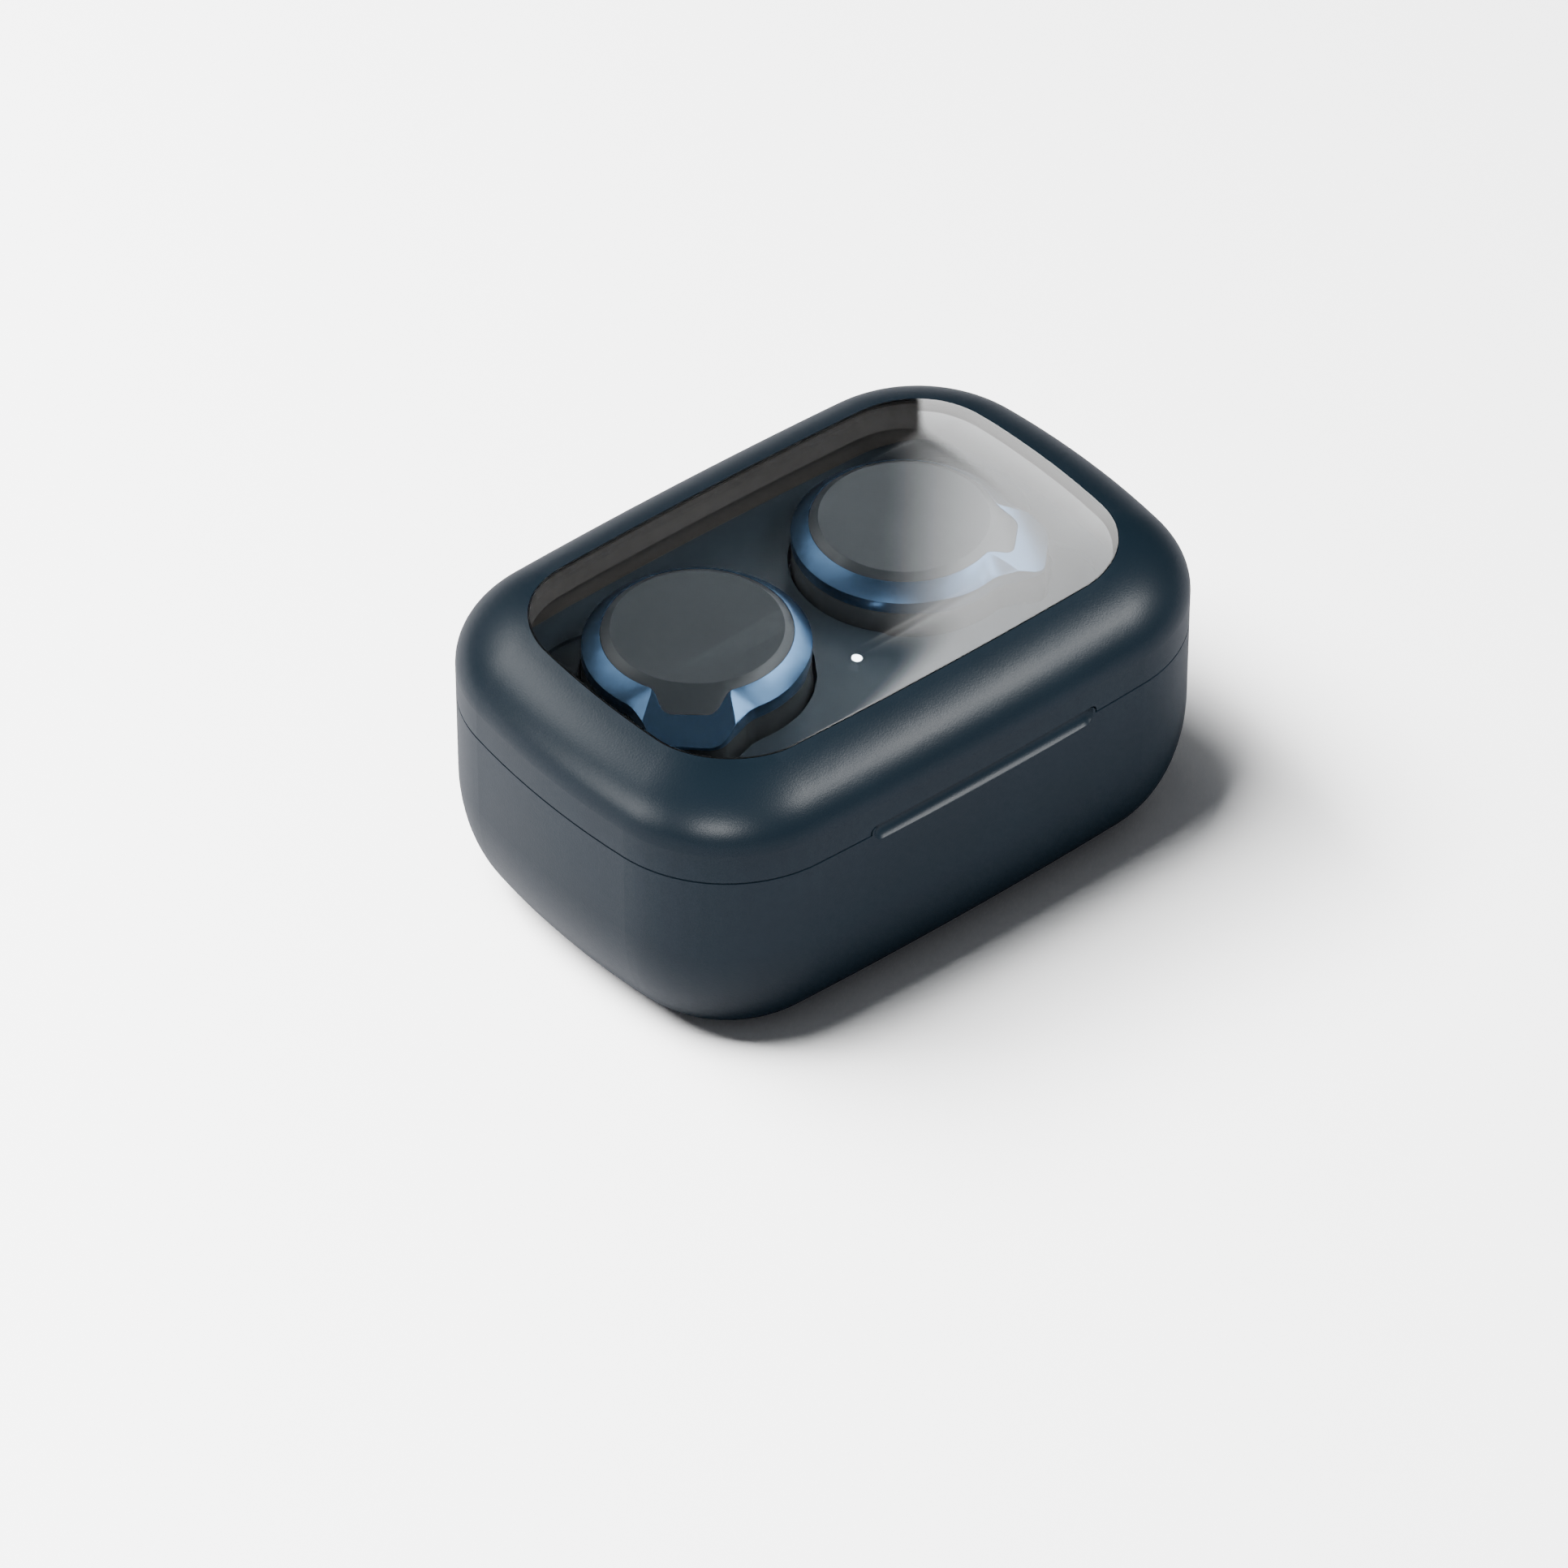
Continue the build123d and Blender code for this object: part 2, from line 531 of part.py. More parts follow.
# ---- the hinge -------------------------------------------------------------------------------
def hinge_bracket():
    """A plate on two bosses behind the tray, with a knuckle at each end, round the pin."""
    half = HINGE_HALF
    inner = LID_KNUCKLE_LENGTH / 2 + KNUCKLE_END_GAP
    plate = block(-half, half, HINGE_Y - BRACKET_DEPTH, HINGE_Y, BRACKET_Z, BRACKET_Z + BRACKET_THICKNESS)
    plate += rod_x(-half, half, HINGE_Y, SEAM_Z, KNUCKLE_RADIUS)
    plate -= rod_x(-inner, inner, HINGE_Y, SEAM_Z, HINGE_NOTCH_RADIUS)
    plate -= block(-inner, inner, HINGE_Y, HALF_WIDTH, BRACKET_Z, SEAM_Z)
    plate -= rod_x(-half, half, HINGE_Y, SEAM_Z, PIN_RADIUS)
    for x in (-HINGE_SCREW_X, HINGE_SCREW_X):
        plate -= screw(x, HINGE_Y - HINGE_SCREW_Y, BRACKET_Z + BRACKET_THICKNESS, SCREW_CLEARANCE)
    return plate


def screw(x, y, top, grow=0.0, length=4.0):
    """A small flat-headed screw, its head's face at top. Grown, it is the hole that takes it."""
    body = disc(x, y, SCREW_HEAD_RADIUS + grow, top - SCREW_HEAD, top)
    return body + disc(x, y, SCREW_RADIUS + grow, top - length, top - SCREW_HEAD)


def driven_screw(x, y, top):
    """A screw with a cross recess for the driver."""
    slot = SCREW_HEAD_RADIUS * 0.6
    width = SCREW_HEAD_RADIUS * 0.14
    depth = SCREW_HEAD * 0.6
    body = screw(x, y, top)
    body -= block(x - slot, x + slot, y - width, y + width, top - depth, top)
    return body - block(x - width, x + width, y - slot, y + slot, top - depth, top)


def hinge_screws():
    y = HINGE_Y - HINGE_SCREW_Y
    return both_sides(driven_screw(HINGE_SCREW_X, y, BRACKET_Z + BRACKET_THICKNESS))


# ---- inside the base -------------------------------------------------------------------------
def charging_coil():
    """Flat turns of wire, side by side, lying on the floor."""
    z = FLOOR + COIL_WIRE_RADIUS
    turns = []
    for i in range(COIL_TURNS):
        radius = COIL_OUTER_RADIUS - COIL_WIRE_RADIUS - i * COIL_PITCH
        turns.append(Pos(0, 0, z) * Torus(radius, COIL_WIRE_RADIUS))
    return turns[0].fuse(*turns[1:])


def ferrite_sheet():
    z = FLOOR + 2 * COIL_WIRE_RADIUS
    return disc(0, 0, FERRITE_RADIUS, z, z + FERRITE_THICKNESS)


def chassis_plate():
    """The plate over the coil, with a low fence round the battery and posts for the socket board."""
    top = CHASSIS_Z + CHASSIS_THICKNESS
    plate = case_prism(CHASSIS_INSET, CHASSIS_Z, top)
    half = BATTERY_SIZE[0] / 2 + CRADLE_GAP
    depth = BATTERY_SIZE[1] / 2 + CRADLE_GAP
    low, high = BATTERY_Y - depth, BATTERY_Y + depth
    fence = block(-half - TRAY_WALL, half + TRAY_WALL, low, high + TRAY_WALL, CHASSIS_Z, top + 2)
    plate += (fence - block(-half, half, low, high, top, top + 2)) & case_prism(
        CHASSIS_INSET, CHASSIS_Z, top + 2
    )
    for x in (-SOCKET_SIZE[0] / 2, SOCKET_SIZE[0] / 2, BUTTON_X):
        post = disc(x, SOCKET_MOUTH_Y - SOCKET_SIZE[1], 1.4, CHASSIS_Z, SOCKET_BOARD_Z)
        plate += post
    for x in (-BOARD_SIZE[0] / 2 + 3, BOARD_SIZE[0] / 2 - 3):
        plate += disc(x, BOARD_Y, 1.6, CHASSIS_Z, BOARD_Z)
    for x in (-PILLAR_PLACE[0], PILLAR_PLACE[0]):
        for y in (-PILLAR_PLACE[1], PILLAR_PLACE[1]):
            plate -= screw(x, y, top, SCREW_CLEARANCE, CHASSIS_SCREW_LENGTH)
    return plate


def chassis_screws():
    top = CHASSIS_Z + CHASSIS_THICKNESS
    screws = []
    for y in (-PILLAR_PLACE[1], PILLAR_PLACE[1]):
        body = driven_screw(PILLAR_PLACE[0], y, top)
        body &= block(0, FAR, -FAR, FAR, top - CHASSIS_SCREW_LENGTH, top)
        screws += both_sides(body)
    return screws


def battery_box(z_low, z_high):
    half = BATTERY_SIZE[0] / 2
    depth = BATTERY_SIZE[1] / 2
    return block(-half, half, BATTERY_Y - depth, BATTERY_Y + depth, z_low, z_high)


BATTERY_Z = CHASSIS_Z + CHASSIS_THICKNESS + BATTERY_PAD


def battery_cell():
    cell = battery_box(BATTERY_Z, BATTERY_Z + BATTERY_SIZE[2])
    return fillet(cell.edges().filter_by(Axis.X), BATTERY_SIZE[1] / 6)


def battery_pad():
    return battery_box(BATTERY_Z - BATTERY_PAD, BATTERY_Z)


def main_board():
    half = BOARD_SIZE[0] / 2
    depth = BOARD_SIZE[1] / 2
    top = BOARD_Z + BOARD_THICKNESS
    board = block(-half, half, BOARD_Y - depth, BOARD_Y + depth, BOARD_Z, top)
    return fillet(board.edges().filter_by(Axis.Z), 1.5)


def board_parts():
    """The parts on the main board: the light under the guide, two chips, a coil and capacitors."""
    top = BOARD_Z + BOARD_THICKNESS
    led = block(-0.8, 0.8, LIGHT_Y - 0.6, LIGHT_Y + 0.6, top, top + LED_HEIGHT)
    parts = [led, block(-2.2, 2.2, 1.0, 5.4, top, top + 0.9), block(-1.6, 1.6, 8.0, 11.2, top, top + 0.8)]
    for x in (-19.6, -16.8, 16.8, 19.6):
        parts.append(block(x - 0.9, x + 0.9, -6.6, -5.2, top, top + 0.7))
    return parts


def socket_board():
    low = -SOCKET_SIZE[0] / 2 - 2.5
    high = BUTTON_X + BUTTON_FLANGE_RADIUS
    front = SOCKET_MOUTH_Y - SOCKET_SIZE[1] - 2.4
    back = front + SOCKET_BOARD_DEPTH
    board = block(low, high, front, back, SOCKET_BOARD_Z, SOCKET_BOARD_Z + BOARD_THICKNESS)
    return fillet(board.edges().filter_by(Axis.Z), 0.8)


def charge_socket():
    """The socket's metal shell, closed at its front end by its moulded block."""
    mouth = SOCKET_MOUTH_Y
    shell = socket_prism(0, mouth - SOCKET_SIZE[1], mouth)
    return shell - socket_prism(-SOCKET_WALL, mouth - SOCKET_SIZE[1], mouth)


def socket_tongue():
    """The socket's moulded block and its contact tongue."""
    mouth = SOCKET_MOUTH_Y
    inside = mouth - SOCKET_SIZE[1]
    base = socket_prism(-SOCKET_WALL, inside, inside + 1.2)
    width, length, thickness = TONGUE_SIZE
    tongue = block(
        -width / 2, width / 2, inside + 1, inside + 1 + length, PORT_Z - thickness / 2, PORT_Z + thickness / 2
    )
    return base + tongue


def base_magnets():
    width, depth, height = BASE_MAGNET_SIZE
    y = -HALF_WIDTH + LINER_INSET
    return both_sides(
        block(MAGNET_X - width / 2, MAGNET_X + width / 2, y, y + depth, LEDGE_Z - height, LEDGE_Z)
    )


def cradle_magnets():
    x = EARBUD_X + BUD_MAGNET_OFFSET[0]
    y = EARBUD_Y + BUD_MAGNET_OFFSET[1]
    top = CUP_Z - TRAY_WALL
    return both_sides(disc(x, y, BUD_MAGNET_RADIUS, top - BUD_MAGNET_THICKNESS, top))


# ---- the charging pins and the button --------------------------------------------------------
PIN_TOP_Z = EAR_SIDE_BASE_Z - CONTACT_PROUD - PIN_CONTACT_GAP
BARREL_TOP_Z = CUP_Z - TRAY_WALL
BARREL_BASE_Z = BARREL_TOP_Z - BARREL_LENGTH


def pin_barrel(x, y):
    barrel = disc(x, y, BARREL_RADIUS, BARREL_BASE_Z, BARREL_TOP_Z)
    bore = PIN_COLLAR_RADIUS + PIN_GUIDE_CLEARANCE
    barrel -= disc(x, y, bore, BARREL_BASE_Z + BARREL_BASE, BARREL_TOP_Z - BARREL_CAP)
    return barrel - disc(x, y, PIN_TIP_RADIUS + PIN_GUIDE_CLEARANCE, BARREL_TOP_Z - BARREL_CAP, BARREL_TOP_Z)


def pin_plunger(x, y):
    collar_top = BARREL_TOP_Z - BARREL_CAP - PIN_GUIDE_CLEARANCE
    plunger = disc(x, y, PIN_COLLAR_RADIUS, collar_top - PIN_COLLAR_HEIGHT, collar_top)
    plunger += disc(x, y, PIN_TIP_RADIUS, collar_top, PIN_TOP_Z)
    return fillet(plunger.edges().sort_by(Axis.Z)[-1], PIN_TIP_RADIUS * 0.6)


def pin_boards():
    """The small board under each cradle that carries the pins' barrels."""
    (x_low, y), (x_high, _) = pin_places()
    half = BARREL_RADIUS + PIN_BOARD_MARGIN
    board = block(
        x_low - half, x_high + half, y - half, y + half, BARREL_BASE_Z - BOARD_THICKNESS, BARREL_BASE_Z
    )
    return both_sides(board)


def pairing_button():
    """A round button whose face follows the back of the case, with a flange inside the wall."""
    flange_back = BUTTON_WALL_Y - BUTTON_FLANGE_GAP
    button = rod_y(BUTTON_X, flange_back, BUTTON_FACE_Y + BUTTON_PROUD, PORT_Z, BUTTON_RADIUS)
    button += rod_y(BUTTON_X, flange_back - BUTTON_FLANGE, flange_back, PORT_Z, BUTTON_FLANGE_RADIUS)
    return fillet(button.edges().sort_by(Axis.Y)[-1], BUTTON_RADIUS / 8)


def button_switch():
    front = BUTTON_WALL_Y - BUTTON_FLANGE_GAP - BUTTON_FLANGE - BUTTON_SWITCH_GAP
    z = SOCKET_BOARD_Z + BOARD_THICKNESS
    body = block(BUTTON_X - 1.8, BUTTON_X + 1.8, front - 2.2, front - 0.4, z, PORT_Z + 1.6)
    return body + rod_y(BUTTON_X, front - 0.4, front, PORT_Z, 0.8)


# ---- the lid ---------------------------------------------------------------------------------
def lid_frame(outer, hollow):
    frame = outer - hollow
    frame &= block(-FAR, FAR, -FAR, FAR, LID_RIM_Z, FAR)
    frame -= window_prism(0, SEAM_Z, FAR)
    frame -= envelope(LIP_THICKNESS) & window_prism(-LIP_WIDTH, CASE_HEIGHT - TOP_CURVE_HEIGHT, FAR)
    frame -= hinge_notch(1) + hinge_wedge(1)
    return frame - groove_slab(SEAM_GAP, SEAM_Z - 1)


def lid_window(outer):
    """The clear pane, flush with the frame, with a flange under the frame's lip."""
    low = CASE_HEIGHT - TOP_CURVE_HEIGHT
    pane = outer & window_prism(WINDOW_GAP, low, FAR)
    flange = envelope(LIP_THICKNESS + TAPE_THICKNESS) & window_prism(WINDOW_GAP - LIP_WIDTH, low, FAR)
    return pane + flange - envelope(WINDOW_THICKNESS)


def window_tape():
    low = CASE_HEIGHT - TOP_CURVE_HEIGHT
    band = window_prism(WINDOW_GAP - LIP_WIDTH, low, FAR) - window_prism(0, low, FAR)
    return (envelope(LIP_THICKNESS) & band) - envelope(LIP_THICKNESS + TAPE_THICKNESS)


def lid_liner():
    """The lid's inner moulding: a wall, a roof with a skirt round the window, and a bottom flange."""
    roof_inset = max(WINDOW_THICKNESS, WALL) + LINER_GAP
    under_window = envelope(roof_inset)
    under_roof = envelope(roof_inset + LINER_ROOF)
    bottom = LID_RIM_Z + PIN_CLEARANCE
    wall_inset = LINER_INSET + LINER_WALL
    liner = under_window & case_prism(LINER_INSET, bottom, FAR)
    liner -= under_roof & case_prism(wall_inset, 0, FAR)
    flange = case_prism(WALL + PIN_CLEARANCE, bottom, bottom + LINER_FLANGE)
    liner += flange - case_prism(wall_inset, bottom, bottom + LINER_FLANGE)
    skirt = under_window & window_prism(-LINER_WALL, LINER_SKIRT_Z, FAR)
    liner += skirt
    liner -= window_prism(0, SEAM_Z, FAR)
    half = LID_KNUCKLE_LENGTH / 2
    liner -= rod_x(-HINGE_NOTCH_HALF, HINGE_NOTCH_HALF, HINGE_Y, SEAM_Z, HINGE_NOTCH_RADIUS)
    arm_top = bottom + LINER_FLANGE
    liner += block(-half, half, HINGE_Y - BRACKET_DEPTH, HINGE_Y, bottom, arm_top)
    liner += rod_x(-half, half, HINGE_Y, SEAM_Z, KNUCKLE_RADIUS)
    return liner - rod_x(-half, half, HINGE_Y, SEAM_Z, PIN_RADIUS + PIN_CLEARANCE)


def lid_magnets():
    width, depth, height = LID_MAGNET_SIZE
    y = -back_face_y(MAGNET_X + width / 2, SEAM_Z) + WALL + LINER_GAP
    z = LID_RIM_Z + PIN_CLEARANCE + LINER_FLANGE
    return both_sides(block(MAGNET_X - width / 2, MAGNET_X + width / 2, y, y + depth, z, z + height))


# ---- the earbuds: the right one, in its cradle -----------------------------------------------
def at_bud(shape):
    """A shape made round the Z axis, with the tab towards +X, moved to the right earbud's place."""
    return RIGHT_EARBUD * shape


def nozzle_place():
    """The nose's centre on the earbud's underside, with +Z along the leaning nozzle, outwards."""
    x = EARBUD_X + NOSE_OFFSET[0]
    y = EARBUD_Y + NOSE_OFFSET[1]
    return Pos(x, y, NOSE_BASE_Z) * Rot(0, 180 + NOZZLE_TILT, 0)


def cone(radius_low, radius_high, z_low, z_high):
    return Pos(0, 0, (z_low + z_high) / 2) * Cone(radius_low, radius_high, z_high - z_low)


def face_cap():
    """The touch face: a flat disc that slopes away towards its rim and over the tab."""
    base = FACE_Z - CAP_THICKNESS
    cap = extruded(CAP_FACE, base, FACE_Z)
    low = FACE_Z - (CAP_TAB[0] + 1 - FACE_RADIUS) * CAP_SLOPE
    slope = cone(CAP_TAB[0] + 1, FACE_RADIUS, low, FACE_Z) + disc(0, 0, CAP_TAB[0] + 1, base, low)
    return at_bud(cap & slope)


def tab_slope():
    """What lies above the sloping face of the bezel's tab."""
    start = (CAP_TAB[0], FACE_Z - (CAP_TAB[0] - FACE_RADIUS) * CAP_SLOPE)
    rise = start[1] + start[0] * TAB_SLOPE
    end = 2 * BEZEL_TAB[0]
    profile = Polyline((0, 0, rise), (end, 0, rise - end * TAB_SLOPE), (end, 0, rise), close=True)
    return extrude(make_face(profile), BEZEL_RADIUS, dir=(0, 1, 0), both=True)


def face_bezel():
    """The metal ring round the face: a broad slope, a narrow side band, and a ledge under the cap."""
    opening = grown(CAP_FACE, CAP_GAP)
    top = Pos(0, 0, BEZEL_TOP_Z) * opening.face()
    edge = Pos(0, 0, BEZEL_EDGE_Z) * BEZEL_FACE.face()
    ring = loft([edge, top], ruled=True)
    ring += extruded(BEZEL_FACE, BEZEL_BASE_Z, BEZEL_EDGE_Z)
    ring -= tab_slope()
    cap_base = FACE_Z - CAP_THICKNESS
    ring -= extruded(opening, cap_base, FACE_Z)
    ring -= disc(0, 0, CAP_RADIUS - BEZEL_LEDGE, BEZEL_BASE_Z, cap_base)
    return at_bud(ring)


def outer_housing():
    side = grown(BEZEL_FACE, -HOUSING_INSET)
    housing = extruded(side, HOUSING_BASE_Z, BEZEL_BASE_Z)
    housing -= disc(0, 0, HOUSING_BORE, HOUSING_BASE_Z + HOUSING_FLOOR, BEZEL_BASE_Z)
    housing -= disc(0, 0, EAR_SIDE_RADIUS - 2 * EAR_SIDE_WALL, HOUSING_BASE_Z, BEZEL_BASE_Z)
    return at_bud(housing)


def bowl(inset):
    """The ear side's round body, taken in by inset."""
    low = EAR_SIDE_BASE_Z + inset
    depth = HOUSING_BASE_Z - low
    curve = EllipticalCenterArc(
        (EAR_SIDE_FLAT - inset, HOUSING_BASE_Z), EAR_SIDE_RADIUS - EAR_SIDE_FLAT, depth, start_angle=-90
    )
    section = Wire(
        [
            Edge.make_line((0, HOUSING_BASE_Z), (0, low)),
            Edge.make_line((0, low), (EAR_SIDE_FLAT - inset, low)),
            curve.edge(),
            Edge.make_line((EAR_SIDE_RADIUS - inset, HOUSING_BASE_Z), (0, HOUSING_BASE_Z)),
        ]
    )
    body = revolve(Plane.XZ.from_local_coords(Face(section)), Axis.Z, 360)
    return Pos(EARBUD_X, EARBUD_Y, 0) * body


def nose(inset):
    """The cone under the bowl that carries the nozzle."""
    x = EARBUD_X + NOSE_OFFSET[0]
    y = EARBUD_Y + NOSE_OFFSET[1]
    low = NOSE_BASE_Z + inset
    body = cone(NOZZLE_RADIUS + 0.8 - inset, NOSE_RADIUS - inset, low, EAR_SIDE_BASE_Z + inset)
    return Pos(x, y, 0) * body


def ear_side_housing():
    """The bowl that faces the ear, open over the nose, with seats for the contacts."""
    body = bowl(0) - bowl(EAR_SIDE_WALL) - nose(EAR_SIDE_WALL)
    for x, y in pin_places():
        body -= disc(x, y, CONTACT_RADIUS, EAR_SIDE_BASE_Z, EAR_SIDE_BASE_Z + CONTACT_THICKNESS)
    return body


def sound_nozzle():
    """The nose welded under the bowl, its nozzle, a lip to hold the ear tip and a seat for the mesh."""
    place = nozzle_place()
    body = nose(0)
    body += place * disc(0, 0, NOZZLE_RADIUS, -1.2, NOZZLE_LENGTH)
    body += place * disc(0, 0, NOZZLE_RADIUS + NOZZLE_LIP, NOZZLE_LENGTH - 1.2, NOZZLE_LENGTH - 0.4)
    body -= nose(EAR_SIDE_WALL)
    body -= place * disc(0, 0, NOZZLE_BORE, -2.4, NOZZLE_LENGTH)
    return body - place * disc(0, 0, NOZZLE_BORE + 0.3, NOZZLE_LENGTH - MESH_THICKNESS, NOZZLE_LENGTH)


def ear_tip():
    """The soft tip: a sleeve round the nozzle that turns back at its end into a domed skirt."""
    end = NOZZLE_LENGTH + TIP_OVERHANG
    root = end - TIP_LENGTH
    height = TIP_LENGTH * 0.8
    curve_z = end - height
    neck = NOZZLE_BORE + 0.6
    outer_side = Edge.make_ellipse(TIP_RADIUS - neck, height, Plane((neck, curve_z, 0)), 0, 90)
    outer = Face(
        Wire(
            [
                Edge.make_line((0, root), (TIP_RADIUS - 0.3, root)),
                Edge.make_line((TIP_RADIUS - 0.3, root), (TIP_RADIUS, curve_z)),
                outer_side,
                Edge.make_line((neck, end), (0, end)),
                Edge.make_line((0, end), (0, root)),
            ]
        )
    )
    tip = revolve(Plane.XZ.from_local_coords(outer), Axis.Z, 360)
    inner_side = Edge.make_ellipse(
        TIP_RADIUS - neck - TIP_WALL, height - 2 * TIP_WALL, Plane((neck, curve_z, 0)), 0, 90
    )
    inner = Face(
        Wire(
            [
                Edge.make_line((0, root), (TIP_RADIUS - 0.3 - TIP_WALL, root)),
                Edge.make_line((TIP_RADIUS - 0.3 - TIP_WALL, root), (TIP_RADIUS - TIP_WALL, curve_z)),
                inner_side,
                Edge.make_line((neck, end - 2 * TIP_WALL), (0, end - 2 * TIP_WALL)),
                Edge.make_line((0, end - 2 * TIP_WALL), (0, root)),
            ]
        )
    )
    tip -= revolve(Plane.XZ.from_local_coords(inner), Axis.Z, 360)
    sleeve = NOZZLE_RADIUS + NOZZLE_LIP + 0.05
    tip += disc(0, 0, sleeve + TIP_WALL, TIP_ROOT_GAP, end - TIP_WALL)
    tip -= disc(0, 0, NOZZLE_RADIUS, 0, NOZZLE_LENGTH)
    tip -= disc(0, 0, NOZZLE_RADIUS + NOZZLE_LIP, NOZZLE_LENGTH - 1.2, NOZZLE_LENGTH - 0.4)
    tip -= disc(0, 0, NOZZLE_BORE, 0, end + 1)
    return nozzle_place() * tip


def nozzle_mesh():
    """The perforated disc at the nozzle's end."""
    mesh = disc(0, 0, NOZZLE_BORE + 0.3, NOZZLE_LENGTH - MESH_THICKNESS, NOZZLE_LENGTH)
    for ring, count in ((0.0, 1), (0.7, 6), (1.3, 12)):
        for i in range(count):
            turn = 2 * math.pi * i / count
            mesh -= disc(ring * math.cos(turn), ring * math.sin(turn), 0.17, 0, NOZZLE_LENGTH + 1)
    return nozzle_place() * mesh


def bud_driver():
    """The loudspeaker over the nose: a basket, a step and a domed diaphragm."""
    x = EARBUD_X + NOSE_OFFSET[0]
    y = EARBUD_Y + NOSE_OFFSET[1]
    z = EAR_SIDE_BASE_Z + EAR_SIDE_WALL
    driver = disc(x, y, DRIVER_RADIUS, z, z + DRIVER_THICKNESS)
    return driver + disc(x, y, DRIVER_RADIUS * 0.75, z + DRIVER_THICKNESS, z + DRIVER_THICKNESS + 0.6)


def bud_contacts():
    top = EAR_SIDE_BASE_Z + CONTACT_THICKNESS
    base = EAR_SIDE_BASE_Z - CONTACT_PROUD
    return [disc(x, y, CONTACT_RADIUS, base, top) for x, y in pin_places()]


def bud_magnet():
    x = EARBUD_X + BUD_MAGNET_OFFSET[0]
    y = EARBUD_Y + BUD_MAGNET_OFFSET[1]
    z = EAR_SIDE_BASE_Z + EAR_SIDE_WALL
    return disc(x, y, BUD_MAGNET_RADIUS, z, z + BUD_MAGNET_THICKNESS)


BUD_BOARD_Z = HOUSING_BASE_Z + HOUSING_FLOOR


def bud_board():
    return at_bud(disc(0, 0, BUD_BOARD_RADIUS, BUD_BOARD_Z, BUD_BOARD_Z + BUD_BOARD_THICKNESS))


def bud_cell():
    top = BUD_BOARD_Z
    cell = at_bud(disc(0, 0, BUD_CELL_RADIUS, top - BUD_CELL_THICKNESS, top))
    return fillet(cell.edges().sort_by(Axis.Z)[0], 0.4)


def bud_sensor():
    """The touch sensor's disc, stuck under the cap."""
    top = FACE_Z - CAP_THICKNESS
    return at_bud(disc(0, 0, BUD_SENSOR_RADIUS, top - BUD_SENSOR_THICKNESS, top))


# ---- every piece, by its node's name ---------------------------------------------------------
def one_node(solids):
    return Compound(children=solids) if isinstance(solids, list) else solids


def all_nodes():
    outer = envelope(0)
    hollow = envelope(WALL, FLOOR)
    nodes = {
        "base_shell": base_shell(outer, hollow),
        "inner_tray": inner_tray(),
        "light_guide": light_guide(),
        "hinge_bracket": hinge_bracket(),
        "hinge_pin": rod_x(-HINGE_HALF, HINGE_HALF, HINGE_Y, SEAM_Z, PIN_RADIUS),
        "hinge_screws": hinge_screws(),
        "charging_coil": charging_coil(),
        "ferrite_sheet": ferrite_sheet(),
        "chassis_plate": chassis_plate(),
        "chassis_screws": chassis_screws(),
        "battery_cell": battery_cell(),
        "battery_pad": battery_pad(),
        "main_board": main_board(),
        "board_parts": board_parts(),
        "socket_board": socket_board(),
        "charge_socket": charge_socket(),
        "socket_tongue": socket_tongue(),
        "base_magnets": base_magnets(),
        "cradle_magnets": cradle_magnets(),
        "pin_boards": pin_boards(),
        "pairing_button": pairing_button(),
        "button_switch": button_switch(),
        "lid_frame": lid_frame(outer, hollow),
        "lid_window": lid_window(outer),
        "window_tape": window_tape(),
        "lid_liner": lid_liner(),
        "lid_magnets": lid_magnets(),
    }
    barrels = []
    for place, name in zip(pin_places(), ("inner", "outer")):
        barrels += both_sides(pin_barrel(*place))
        right, left = both_sides(pin_plunger(*place))
        nodes["charge_pin_right_" + name] = right
        nodes["charge_pin_left_" + name] = left
    nodes["pin_barrels"] = barrels
    right_earbud = {
        "face_cap": face_cap(),
        "face_bezel": face_bezel(),
        "outer_housing": outer_housing(),
        "ear_side_housing": ear_side_housing(),
        "sound_nozzle": sound_nozzle(),
        "ear_tip": ear_tip(),
        "nozzle_mesh": nozzle_mesh(),
        "driver": bud_driver(),
        "contacts": bud_contacts(),
        "magnet": bud_magnet(),
        "board": bud_board(),
        "cell": bud_cell(),
        "touch_sensor": bud_sensor(),
    }
    for name, shape in right_earbud.items():
        right, left = both_sides(one_node(shape))
        nodes["earbud_right_" + name] = right
        nodes["earbud_left_" + name] = left
    return nodes


os.makedirs("parts", exist_ok=True)
for node_name, node in all_nodes().items():
    export_step(one_node(node), f"parts/{node_name}.step")
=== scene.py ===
# %% [markdown]
# # Wireless earbuds case
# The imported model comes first, as a fixed frame: every shell, cradle and earbud part is already at its
# real size and place. What follows gives each one its finish, adds the fine pieces that make the shapes
# read at close range, and then sets up the light and the camera.
# Everything is in metres, so sizes below are written in millimetres times MM.

# %% Load the frame
import json
import math

